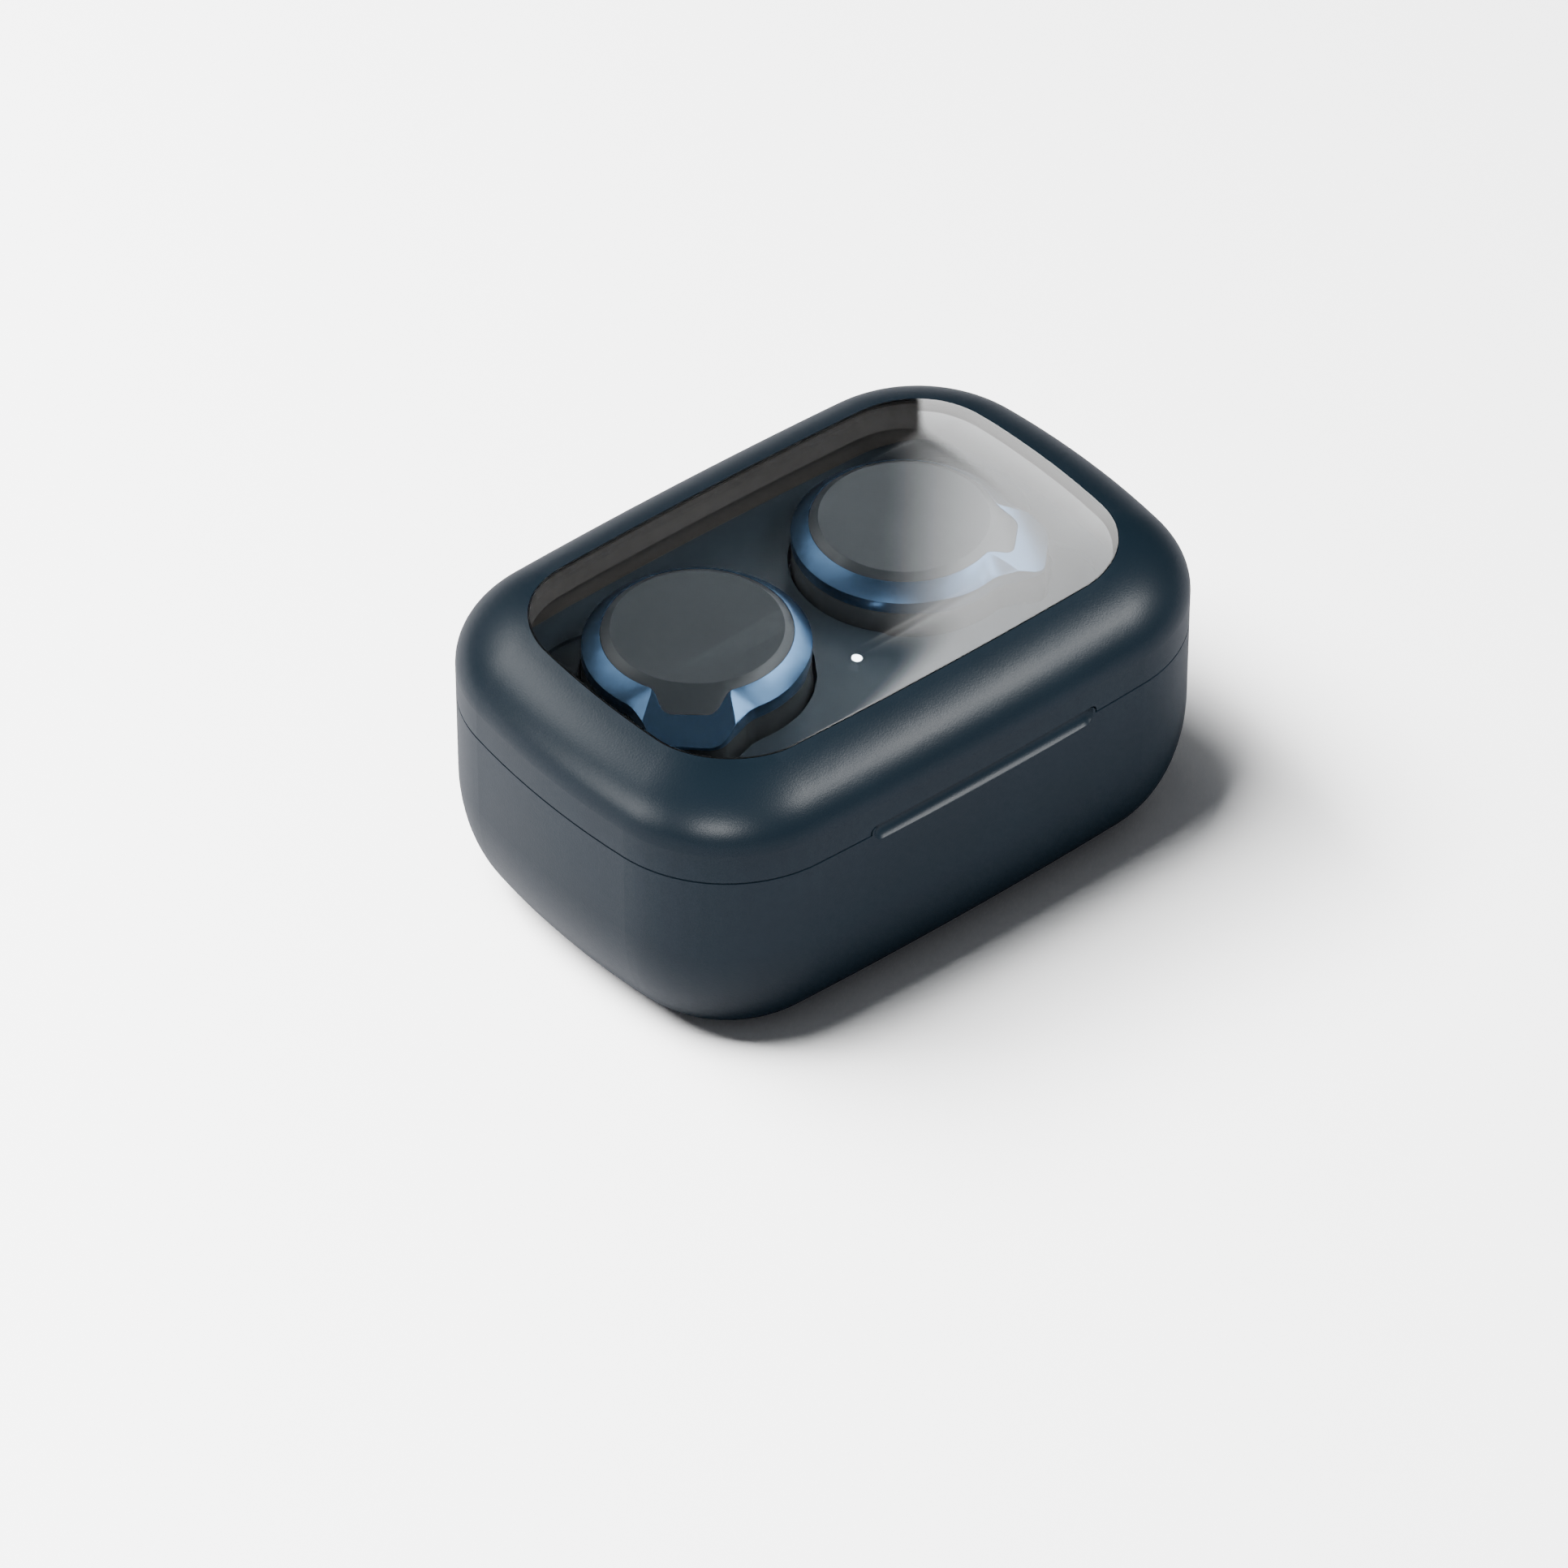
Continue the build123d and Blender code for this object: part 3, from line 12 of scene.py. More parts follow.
import bpy
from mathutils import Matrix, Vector


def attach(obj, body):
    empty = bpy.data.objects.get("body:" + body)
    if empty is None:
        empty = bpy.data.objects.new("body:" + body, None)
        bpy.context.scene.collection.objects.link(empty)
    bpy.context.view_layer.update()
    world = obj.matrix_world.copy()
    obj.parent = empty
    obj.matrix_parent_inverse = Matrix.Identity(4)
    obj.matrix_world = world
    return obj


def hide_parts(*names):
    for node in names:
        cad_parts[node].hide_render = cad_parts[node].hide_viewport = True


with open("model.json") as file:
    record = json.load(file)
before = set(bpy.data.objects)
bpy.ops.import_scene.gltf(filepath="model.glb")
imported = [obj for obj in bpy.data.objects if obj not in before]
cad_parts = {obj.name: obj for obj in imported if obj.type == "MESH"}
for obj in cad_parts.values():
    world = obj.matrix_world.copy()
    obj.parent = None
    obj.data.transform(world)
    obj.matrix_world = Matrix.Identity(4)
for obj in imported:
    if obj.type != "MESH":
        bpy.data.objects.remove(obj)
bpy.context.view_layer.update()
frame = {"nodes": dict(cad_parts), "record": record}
nodes = frame["nodes"]
MM = 0.001


# %% [markdown]
# ## Helpers
# Materials are built as small node trees. `add` places a node and sets its plain values, `link` joins
# two sockets, and `new_material` returns a material with its Principled shader ready to be fed.
# `blend`, `tinted` and `raise_relief` are the three steps that nearly every finish below repeats.
# Effects that several materials share, such as grain and edge wear, are shader node groups with named
# sockets, so each material only chooses a scale and a strength.

# %% Node helpers
def add(tree, kind, name="", **values):
    node = tree.nodes.new(kind)
    node.name = name or node.name
    node.label = name
    for key, value in values.items():
        setattr(node, key, value)
    return node


def link(tree, source, target):
    tree.links.new(source, target)


def new_material(name, colour, roughness, metallic=0.0):
    material = bpy.data.materials.new(name)
    material.use_nodes = True
    shader = material.node_tree.nodes["Principled BSDF"]
    shader.inputs["Base Color"].default_value = (*colour, 1.0)
    shader.inputs["Roughness"].default_value = roughness
    shader.inputs["Metallic"].default_value = metallic
    return material, material.node_tree, shader


def new_group(name, inputs, outputs):
    group = bpy.data.node_groups.new(name, "ShaderNodeTree")
    for label, kind, default in inputs:
        socket = group.interface.new_socket(name=label, in_out="INPUT", socket_type=kind)
        socket.default_value = default
    for label, kind in outputs:
        group.interface.new_socket(name=label, in_out="OUTPUT", socket_type=kind)
    start = add(group, "NodeGroupInput")
    end = add(group, "NodeGroupOutput")
    return group, start, end


def use_group(tree, group, **values):
    node = add(tree, "ShaderNodeGroup", group.name)
    node.node_tree = group
    for key, value in values.items():
        node.inputs[key.replace("_", " ")].default_value = value
    return node


def blend(tree, name, first, second):
    """A node that goes from the first colour to the second with its Factor."""
    node = add(tree, "ShaderNodeMix", name, data_type="RGBA")
    node.inputs["A"].default_value = (*first, 1.0)
    node.inputs["B"].default_value = (*second, 1.0)
    return node


def tinted(colour, factor, lift=0.0):
    """A colour made lighter or darker, kept within what a surface can reflect."""
    return [min(1.0, c * factor + lift) for c in colour]


def raise_relief(tree, name, height, strength, distance, shader):
    """Tilt the shader's normals by a height, so that light catches it as fine relief."""
    node = add(tree, "ShaderNodeBump", name)
    node.inputs["Strength"].default_value = strength
    node.inputs["Distance"].default_value = distance
    link(tree, height, node.inputs["Height"])
    link(tree, node.outputs["Normal"], shader.inputs["Normal"])


# %% [markdown]
# ## Shared effects
# **Moulded grain** is the fine satin texture of sprayed or spark-eroded plastic: two noises, one at the
# size of the grain and one slow one, give a height for the bump and a small change of roughness and
# colour, so a wide surface never looks perfectly even.
# **Edge wear** finds convex edges with the Pointiness output and breaks the line up with noise, because
# handling polishes the corners and leaves the rest.
# **Fingerprints and dust** are soft patches that raise the roughness of glossy parts.

# %% Moulded grain
grain_group, start, end = new_group(
    "moulded_grain",
    [
        ("Grain Scale", "NodeSocketFloat", 9000.0),
        ("Drift Scale", "NodeSocketFloat", 90.0),
        ("Roughness", "NodeSocketFloat", 0.4),
        ("Roughness Spread", "NodeSocketFloat", 0.08),
    ],
    [("Height", "NodeSocketFloat"), ("Roughness", "NodeSocketFloat"), ("Drift", "NodeSocketFloat")],
)
place = add(grain_group, "ShaderNodeTexCoord", "place")
fine = add(grain_group, "ShaderNodeTexNoise", "fine grain")
fine.inputs["Detail"].default_value = 3.0
slow = add(grain_group, "ShaderNodeTexNoise", "slow drift")
slow.inputs["Detail"].default_value = 2.0
link(grain_group, place.outputs["Object"], fine.inputs["Vector"])
link(grain_group, place.outputs["Object"], slow.inputs["Vector"])
link(grain_group, start.outputs["Grain Scale"], fine.inputs["Scale"])
link(grain_group, start.outputs["Drift Scale"], slow.inputs["Scale"])
both = add(grain_group, "ShaderNodeMix", "both", data_type="FLOAT")
both.inputs["Factor"].default_value = 0.5
link(grain_group, fine.outputs["Fac"], both.inputs["A"])
link(grain_group, slow.outputs["Fac"], both.inputs["B"])
centred = add(grain_group, "ShaderNodeMath", "centred", operation="SUBTRACT")
centred.inputs[1].default_value = 0.5
link(grain_group, both.outputs["Result"], centred.inputs[0])
spread = add(grain_group, "ShaderNodeMath", "spread", operation="MULTIPLY_ADD")
link(grain_group, centred.outputs["Value"], spread.inputs[0])
link(grain_group, start.outputs["Roughness Spread"], spread.inputs[1])
link(grain_group, start.outputs["Roughness"], spread.inputs[2])
link(grain_group, fine.outputs["Fac"], end.inputs["Height"])
link(grain_group, spread.outputs["Value"], end.inputs["Roughness"])
link(grain_group, slow.outputs["Fac"], end.inputs["Drift"])

# %% Edge wear
wear_group, start, end = new_group(
    "edge_wear",
    [("Amount", "NodeSocketFloat", 0.5), ("Break Up", "NodeSocketFloat", 700.0)],
    [("Mask", "NodeSocketFloat")],
)
shape = add(wear_group, "ShaderNodeNewGeometry", "shape")
edge = add(wear_group, "ShaderNodeMapRange", "convex edges")
edge.inputs["From Min"].default_value = 0.53
edge.inputs["From Max"].default_value = 0.62
link(wear_group, shape.outputs["Pointiness"], edge.inputs["Value"])
place = add(wear_group, "ShaderNodeTexCoord", "place")
patch = add(wear_group, "ShaderNodeTexNoise", "patches")
patch.inputs["Detail"].default_value = 4.0
link(wear_group, place.outputs["Object"], patch.inputs["Vector"])
link(wear_group, start.outputs["Break Up"], patch.inputs["Scale"])
broken = add(wear_group, "ShaderNodeMath", "broken", operation="MULTIPLY")
link(wear_group, edge.outputs["Result"], broken.inputs[0])
link(wear_group, patch.outputs["Fac"], broken.inputs[1])
amount = add(wear_group, "ShaderNodeMath", "amount", operation="MULTIPLY")
link(wear_group, broken.outputs["Value"], amount.inputs[0])
link(wear_group, start.outputs["Amount"], amount.inputs[1])
link(wear_group, amount.outputs["Value"], end.inputs["Mask"])

# %% Fingerprints and dust
smudge_group, start, end = new_group(
    "smudges",
    [
        ("Scale", "NodeSocketFloat", 120.0),
        ("Base", "NodeSocketFloat", 0.03),
        ("Extra", "NodeSocketFloat", 0.05),
    ],
    [("Roughness", "NodeSocketFloat")],
)
place = add(smudge_group, "ShaderNodeTexCoord", "place")
cloud = add(smudge_group, "ShaderNodeTexNoise", "cloud")
cloud.inputs["Detail"].default_value = 5.0
cloud.inputs["Distortion"].default_value = 0.6
link(smudge_group, place.outputs["Object"], cloud.inputs["Vector"])
link(smudge_group, start.outputs["Scale"], cloud.inputs["Scale"])
patches = add(smudge_group, "ShaderNodeMapRange", "patches")
patches.inputs["From Min"].default_value = 0.5
patches.inputs["From Max"].default_value = 0.75
link(smudge_group, cloud.outputs["Fac"], patches.inputs["Value"])
total = add(smudge_group, "ShaderNodeMath", "total", operation="MULTIPLY_ADD")
link(smudge_group, patches.outputs["Result"], total.inputs[0])
link(smudge_group, start.outputs["Extra"], total.inputs[1])
link(smudge_group, start.outputs["Base"], total.inputs[2])
link(smudge_group, total.outputs["Value"], end.inputs["Roughness"])
print("shared effects:", [g.name for g in bpy.data.node_groups])


# %% [markdown]
# ## Plastics
# All the plastics are one recipe with different numbers: a base colour that drifts a little, a grain
# that feeds bump and roughness, and worn edges that turn slightly paler. The case's body is a dark
# blue-grey satin, with a weak shine and a stronger grain than most of the others.

# %% A plastic recipe
def plastic(name, colour, roughness, grain=9000.0, bump=0.12, coat=0.0, wear=0.35, spread=0.10, shine=0.5):
    material, tree, shader = new_material(name, colour, roughness)
    shader.inputs["Specular IOR Level"].default_value = shine
    texture = use_group(tree, grain_group, Grain_Scale=grain, Roughness=roughness, Roughness_Spread=spread)
    tone = blend(tree, "tone", tinted(colour, 0.86), tinted(colour, 1.14))
    link(tree, texture.outputs["Drift"], tone.inputs["Factor"])
    worn = use_group(tree, wear_group, Amount=wear)
    pale = blend(tree, "worn edge", colour, tinted(colour, 1.9, 0.02))
    link(tree, worn.outputs["Mask"], pale.inputs["Factor"])
    link(tree, tone.outputs["Result"], pale.inputs["A"])
    link(tree, pale.outputs["Result"], shader.inputs["Base Color"])
    link(tree, texture.outputs["Roughness"], shader.inputs["Roughness"])
    raise_relief(tree, "grain relief", texture.outputs["Height"], bump, 0.02 * MM, shader)
    shader.inputs["Coat Weight"].default_value = coat
    shader.inputs["Coat Roughness"].default_value = 0.35
    return material


# %% The plastics
finishes = {
    "satin_body": plastic("satin_body", (0.0085, 0.020, 0.032), 0.36, grain=5000, bump=0.6, shine=0.34),
    "tray_plastic": plastic("tray_plastic", (0.026, 0.038, 0.049), 0.40, grain=8000, bump=0.3, shine=0.5),
    "liner_plastic": plastic("liner_plastic", (0.085, 0.078, 0.072), 0.50),
    "black_plastic": plastic("black_plastic", (0.012, 0.012, 0.013), 0.48),
    "bud_face": plastic("bud_face", (0.026, 0.030, 0.034), 0.36, grain=8000, bump=0.3, shine=0.45),
    "bud_grey": plastic("bud_grey", (0.030, 0.034, 0.037), 0.42, grain=8000, bump=0.25),
    "bud_grey_gloss": plastic("bud_grey_gloss", (0.030, 0.033, 0.036), 0.22, bump=0.05, coat=0.4),
    "silicone": plastic("silicone", (0.030, 0.032, 0.035), 0.58, grain=3000, bump=0.15, wear=0.1),
    "black_tape": plastic("black_tape", (0.006, 0.006, 0.006), 0.7, wear=0.0),
    "foam": plastic("foam", (0.020, 0.020, 0.021), 0.9, grain=2500, bump=0.9, wear=0.0),
    "ferrite": plastic("ferrite", (0.030, 0.030, 0.033), 0.6, grain=4000, bump=0.4, wear=0.2),
    "chip_black": plastic("chip_black", (0.010, 0.010, 0.011), 0.4, grain=5000, wear=0.2),
}
finishes["silicone"].node_tree.nodes["Principled BSDF"].inputs["Subsurface Weight"].default_value = 0.05
print("plastics:", sorted(finishes))


# %% [markdown]
# ## Metals
# Turned and anodised metal shows fine marks from the tool. A noise squeezed along one axis changes the
# roughness and the tone a little. Handling wears most metals bright at their edges, so `wear` sets how
# much, and the bezels have none.

# %% A metal recipe
def metal(name, colour, roughness, stretch=(1.0, 1.0, 6.0), scale=4000.0, wear=0.4):
    material, tree, shader = new_material(name, colour, roughness, metallic=1.0)
    place = add(tree, "ShaderNodeTexCoord", "place")
    turn = add(tree, "ShaderNodeMapping", "turning marks")
    turn.inputs["Scale"].default_value = stretch
    marks = add(tree, "ShaderNodeTexNoise", "marks")
    marks.inputs["Scale"].default_value = scale
    marks.inputs["Detail"].default_value = 4.0
    link(tree, place.outputs["Object"], turn.inputs["Vector"])
    link(tree, turn.outputs["Vector"], marks.inputs["Vector"])
    rough = add(tree, "ShaderNodeMapRange", "roughness")
    rough.inputs["To Min"].default_value = roughness * 0.8
    rough.inputs["To Max"].default_value = roughness * 1.25
    link(tree, marks.outputs["Fac"], rough.inputs["Value"])
    link(tree, rough.outputs["Result"], shader.inputs["Roughness"])
    tone = blend(tree, "tone", tinted(colour, 0.88), tinted(colour, 1.1))
    link(tree, marks.outputs["Fac"], tone.inputs["Factor"])
    worn = use_group(tree, wear_group, Amount=wear)
    bare = blend(tree, "worn edge", colour, tinted(colour, 1.5, 0.1))
    link(tree, worn.outputs["Mask"], bare.inputs["Factor"])
    link(tree, tone.outputs["Result"], bare.inputs["A"])
    link(tree, bare.outputs["Result"], shader.inputs["Base Color"])
    raise_relief(tree, "marks relief", marks.outputs["Fac"], 0.03, 0.01 * MM, shader)
    return material


# %% The metals
finishes["blue_metal"] = metal("blue_metal", (0.105, 0.190, 0.320), 0.30, wear=0.0)
finishes["dark_steel"] = metal("dark_steel", (0.10, 0.11, 0.12), 0.35)
finishes["bright_steel"] = metal("bright_steel", (0.62, 0.63, 0.65), 0.25)
finishes["copper_wire"] = metal("copper_wire", (0.72, 0.32, 0.16), 0.28)
finishes["battery_pouch"] = metal("battery_pouch", (0.55, 0.56, 0.58), 0.42, stretch=(1, 1, 1), scale=500)
finishes["magnet_metal"] = metal("magnet_metal", (0.60, 0.60, 0.62), 0.2)
finishes["gold_contact"] = metal("gold_contact", (0.90, 0.68, 0.30), 0.22)
print("metals done,", len(finishes), "finishes")

# %% [markdown]
# ## Circuit board, light and window
# The solder mask is green lacquer over copper: a fine brick pattern stands for the tracks and only
# changes the colour and the height. The light guide is milky plastic that glows. The window is clear,
# slightly smoky plastic: most of its look is what it reflects, so it stays smooth, with only the faintest
# smudges. Light that bends through a closed pane is slow to gather, so shadow rays pass almost straight
# through it instead, and the lamps reach the earbuds below.

# %% Circuit board
board_material, tree, shader = new_material("circuit_board", (0.010, 0.060, 0.032), 0.3)
place = add(tree, "ShaderNodeTexCoord", "place")
tracks = add(tree, "ShaderNodeTexBrick", "tracks")
tracks.inputs["Scale"].default_value = 420.0
tracks.inputs["Mortar Size"].default_value = 0.06
tracks.inputs["Color1"].default_value = (0.010, 0.060, 0.032, 1.0)
tracks.inputs["Color2"].default_value = (0.012, 0.072, 0.038, 1.0)
tracks.inputs["Mortar"].default_value = (0.035, 0.120, 0.060, 1.0)
link(tree, place.outputs["Object"], tracks.inputs["Vector"])
link(tree, tracks.outputs["Color"], shader.inputs["Base Color"])
raise_relief(tree, "track relief", tracks.outputs["Fac"], 0.3, 0.03 * MM, shader)
smudge = use_group(tree, smudge_group, Base=0.28, Extra=0.12)
link(tree, smudge.outputs["Roughness"], shader.inputs["Roughness"])
finishes["circuit_board"] = board_material

# %% Status light
light_material, tree, shader = new_material("status_light", (0.85, 0.87, 0.90), 0.35)
shader.inputs["Emission Strength"].default_value = 9.0
shader.inputs["Subsurface Weight"].default_value = 0.2
glow = add(tree, "ShaderNodeTexNoise", "milky glow")
glow.inputs["Scale"].default_value = 900.0
glow_colour = blend(tree, "glow colour", (0.92, 0.96, 1.0), (1.0, 1.0, 1.0))
link(tree, glow.outputs["Fac"], glow_colour.inputs["Factor"])
link(tree, glow_colour.outputs["Result"], shader.inputs["Emission Color"])
finishes["status_light"] = light_material

# %% Window
LIGHT_LET_IN = 0.92
window_material, tree, shader = new_material("window", (0.80, 0.83, 0.85), 0.02)
shader.inputs["Transmission Weight"].default_value = 1.0
shader.inputs["IOR"].default_value = 1.46
smudge = use_group(tree, smudge_group, Scale=70.0, Base=0.012, Extra=0.035)
link(tree, smudge.outputs["Roughness"], shader.inputs["Roughness"])
rays = add(tree, "ShaderNodeLightPath", "rays")
clear = add(tree, "ShaderNodeMath", "lets light in", operation="MULTIPLY_ADD")
clear.inputs[1].default_value = -LIGHT_LET_IN
clear.inputs[2].default_value = 1.0
link(tree, rays.outputs["Is Shadow Ray"], clear.inputs[0])
link(tree, clear.outputs["Value"], shader.inputs["Alpha"])
finishes["window"] = window_material

# %% [markdown]
# ## Dressing the frame
# The record names a finish for every node, such as satin_body for the shells. Each node could be given
# its material by hand, but a loop over the record leaves none out.

# %% Give every node its finish
for part in frame["record"]["subparts"]:
    for item in nodes[part["node"]].material_slots:
        item.material = finishes[part["material_slot"]]


# %% [markdown]
# ## Softened edges
# A turned and anodised ring never keeps a knife edge, and a moulded cap has a small radius all round.
# A bevel modifier rounds every edge that turns by more than a limit, and hardened normals keep the
# faces between them flat. The frame's meshes are loose triangles, and a bevel finds no edge between loose
# triangles, so a weld modifier joins them first. Both are modifiers, so the meshes stay untouched.

# %% Bevels on the earbuds' outer pieces
EDGE_LIMIT = math.radians(20.0)
WELD_REACH = 0.001 * MM
for side in ("left", "right"):
    for name, width in (("face_cap", 0.10), ("face_bezel", 0.14), ("outer_housing", 0.10)):
        item = nodes[f"earbud_{side}_{name}"]
        joined = item.modifiers.new("joined_faces", "WELD")
        joined.merge_threshold = WELD_REACH
        soften = item.modifiers.new("soft_edges", "BEVEL")
        soften.width = width * MM
        soften.segments = 3
        soften.limit_method = "ANGLE"
        soften.angle_limit = EDGE_LIMIT
        soften.harden_normals = True
        soften.use_clamp_overlap = True
        print(item.name, "edges rounded by", width, "mm")

# %% [markdown]
# ## Window pane
# The pane is one moulding: a shallow dome flush with the lid, with a thin flange that sits under the
# frame's lip. A reflection shows every flaw in it, so it is remade as an even weave of quads.
# It could be a subdivided plate pressed down at its rim, but a woven grid follows the outline exactly:
# each row of the grid is one closed ring, and each ring lies a known distance in from the outline.

# %% Outlines as tangent arcs
# Each outline is half its length, half its width, and the radii of its long side, short side and corner.
CASE = (37.5, 25.9, 580.0, 95.0, 15.4)
PANE = (30.3, 19.0, 580.0, 103.0, 10.4)
ARC_STEPS = (32, 26, 56)
TOP_CURVE = (14.2, 7.4)
CASE_TOP = 35.2


def corner_of(outline):
    """Where the side and corner arcs have their centres, and the angles between which the corner runs."""
    half_x, half_y, long_radius, short_radius, corner_radius = outline
    long_centre = Vector((0.0, half_y - long_radius))
    short_centre = Vector((half_x - short_radius, 0.0))
    reach_long = long_radius - corner_radius
    reach_short = short_radius - corner_radius
    between = short_centre - long_centre
    span = between.length
    along = (reach_long**2 - reach_short**2 + span**2) / (2 * span)
    across = math.sqrt(reach_long**2 - along**2)
    unit = between / span
    centre = long_centre + unit * along + Vector((unit.y, -unit.x)) * across
    low = math.atan2(centre.y - short_centre.y, centre.x - short_centre.x)
    high = math.atan2(centre.y - long_centre.y, centre.x - long_centre.x)
    return short_centre, long_centre, centre, low, high


def ring_of(outline, inset):
    """Points round the outline, taken in by inset, in millimetres, the same count at every inset."""
    short_centre, long_centre, centre, low, high = corner_of(outline)
    arcs = []
    for turn, sign in ((0.0, 1.0), (math.pi, -1.0)):
        arcs.append((short_centre * sign, outline[3], turn - low, 2 * low, ARC_STEPS[0]))
        arcs.append((centre * sign, outline[4], turn + low, high - low, ARC_STEPS[1]))
        arcs.append((long_centre * sign, outline[2], turn + high, math.pi - 2 * high, ARC_STEPS[2]))
        mirrored = Vector((-centre.x, centre.y)) * sign
        arcs.append((mirrored, outline[4], turn + math.pi - high, high - low, ARC_STEPS[1]))
    points = []
    for middle, radius, start_angle, size, count in arcs:
        for i in range(count):
            angle = start_angle + size * i / count
            reach = radius - inset
            points.append(middle + Vector((math.cos(angle), math.sin(angle))) * reach)
    return points


def depth_in_case(point):
    """How far a point lies inside the case's outline, in millimetres."""
    short_centre, long_centre, centre, low, high = corner_of(CASE)
    p = Vector((abs(point.x), abs(point.y)))
    offset = p - centre
    angle = math.atan2(offset.y, offset.x)
    if low < angle < high:
        return CASE[4] - offset.length
    return min(CASE[3] - (p - short_centre).length, CASE[2] - (p - long_centre).length)


def roof_height(point, inset):
    """Height of the case's top surface, taken in by inset, over a point in plan."""
    width, height = TOP_CURVE
    reach = (width - depth_in_case(point)) / (width - inset)
    if reach <= 0.0:
        return CASE_TOP - inset
    return CASE_TOP - height + (height - inset) * math.sqrt(max(0.0, 1.0 - reach * reach))


# %% [markdown]
# The weave starts as a grid primitive. Each row of its points is set on one ring, the two ends of every
# row are merged, and a hole left at the first or last ring is filled. Bridging edge loops could make the
# same skin, but a grid keeps its quads in order from ring to ring.

# %% Weave a closed skin from rings
SHARP_EDGE = math.radians(35.0)
MERGE_REACH = 0.0001 * MM


def woven(name, rings):
    """A closed shell through equal rings of points, in millimetres: a grid, wrapped round and capped."""
    across = len(rings[0])
    bpy.ops.object.select_all(action="DESELECT")
    bpy.ops.mesh.primitive_grid_add(x_subdivisions=across, y_subdivisions=len(rings) - 1, size=MM)
    piece = bpy.context.object
    piece.name = name
    for row, ring in enumerate(rings):
        for column in range(across + 1):
            point = ring[column % across]
            piece.data.vertices[row * (across + 1) + column].co = Vector(point) * MM
    bpy.ops.object.mode_set(mode="EDIT")
    bpy.ops.mesh.select_all(action="SELECT")
    bpy.ops.mesh.remove_doubles(threshold=MERGE_REACH)
    bpy.ops.mesh.fill_holes(sides=0)
    bpy.ops.mesh.select_all(action="SELECT")
    bpy.ops.mesh.normals_make_consistent(inside=False)
    bpy.ops.object.mode_set(mode="OBJECT")
    bpy.ops.object.shade_smooth_by_angle(angle=SHARP_EDGE)
    print(name, len(piece.data.vertices), "vertices,", len(piece.data.polygons), "faces")
    return piece


# %% [markdown]
# The rings run from the flat middle of the top face out to the rim, round its small edge, down the side,
# out along the flange, down the flange's own edge, and back in along the underside. Insets are in
# millimetres from the outline, so the flange, which reaches past it, has a negative one.

# %% The pane
PANE_GAP = 0.06
PANE_THICKNESS = 1.8
FLANGE_DEPTH = 0.85
FLANGE_REACH = -0.84
EDGE_ROUNDING = 0.06
ROUNDING_STEPS = 4
plan_steps = [7.4, 6.9, 6.3, 5.6, 4.8, 4.0, 3.2, 2.4, 1.7, 1.1, 0.6, 0.3]


def pane_ring(inset, depth, drop=0.0):
    """A ring at an inset from the outline, at a depth below the top surface and lowered by drop."""
    return [(p.x, p.y, roof_height(p, depth) - drop) for p in ring_of(PANE, inset)]


rings = [pane_ring(inset, 0.0) for inset in plan_steps]
for i in range(ROUNDING_STEPS + 1):
    turn = math.radians(90.0 * i / ROUNDING_STEPS)
    back = EDGE_ROUNDING * (1.0 - math.sin(turn))
    rings.append(pane_ring(PANE_GAP + back, 0.0, EDGE_ROUNDING * (1.0 - math.cos(turn))))
rings.append(pane_ring(PANE_GAP, FLANGE_DEPTH))
rings.append(pane_ring(FLANGE_REACH, FLANGE_DEPTH))
rings.append(pane_ring(FLANGE_REACH, PANE_THICKNESS))
rings += [pane_ring(inset, PANE_THICKNESS) for inset in reversed(plan_steps)]
pane = woven("window_pane", rings)
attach(pane, "lid")
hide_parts("lid_window")
pane.data.materials.append(finishes["window"])

# %% [markdown]
# The pane's cut edge would glitter if it stayed bare, so it has a black print. The print is a thin
# closed band just inside the edge, woven in the same way from four rings.

# %% The printed edge
PRINT_OUTSIDE = 0.08
PRINT_INSIDE = 0.20
PRINT_DEPTH = 0.80
PRINT_DROP = 0.03
low_outer = pane_ring(PRINT_OUTSIDE, PRINT_DEPTH)
low_inner = pane_ring(PRINT_INSIDE, PRINT_DEPTH)
high_inner = pane_ring(PRINT_INSIDE, 0.0, PRINT_DROP)
high_outer = pane_ring(PRINT_OUTSIDE, 0.0, PRINT_DROP)
edge_print = woven("window_edge_print", [low_outer, low_inner, high_inner, high_outer, low_outer])
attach(edge_print, "lid")
edge_print.data.materials.append(finishes["black_tape"])

# %% [markdown]
# ## Floor
# The case stands on one plain pale sheet, six metres wide. Real white paper would throw its own light up
# onto the dark case and grey it, so the sheet is pale only where the camera sees it directly. To every
# other ray it is dark, so it also looks darker through the window, and it gives the case no diffuse light.

# %% Floor
bpy.ops.object.select_all(action="DESELECT")
bpy.ops.mesh.primitive_plane_add(size=6.0, location=(0.0, 0.0, 0.0))
floor = bpy.context.object
floor.name = "floor"
floor_material, tree, shader = new_material("floor", (0.90, 0.90, 0.90), 0.6)
rays = add(tree, "ShaderNodeLightPath", "rays")
paper = blend(tree, "paper", (0.13, 0.13, 0.14), (0.92, 0.92, 0.92))
link(tree, rays.outputs["Is Camera Ray"], paper.inputs["Factor"])
link(tree, paper.outputs["Result"], shader.inputs["Base Color"])
speckle = add(tree, "ShaderNodeTexNoise", "speckle")
speckle.inputs["Scale"].default_value = 60.0
soft = add(tree, "ShaderNodeMapRange", "soft")
soft.inputs["To Min"].default_value = 0.55
soft.inputs["To Max"].default_value = 0.65
link(tree, speckle.outputs["Fac"], soft.inputs["Value"])
link(tree, soft.outputs["Result"], shader.inputs["Roughness"])
floor.data.materials.append(floor_material)
floor.visible_diffuse = False
print("floor:", tuple(floor.dimensions))


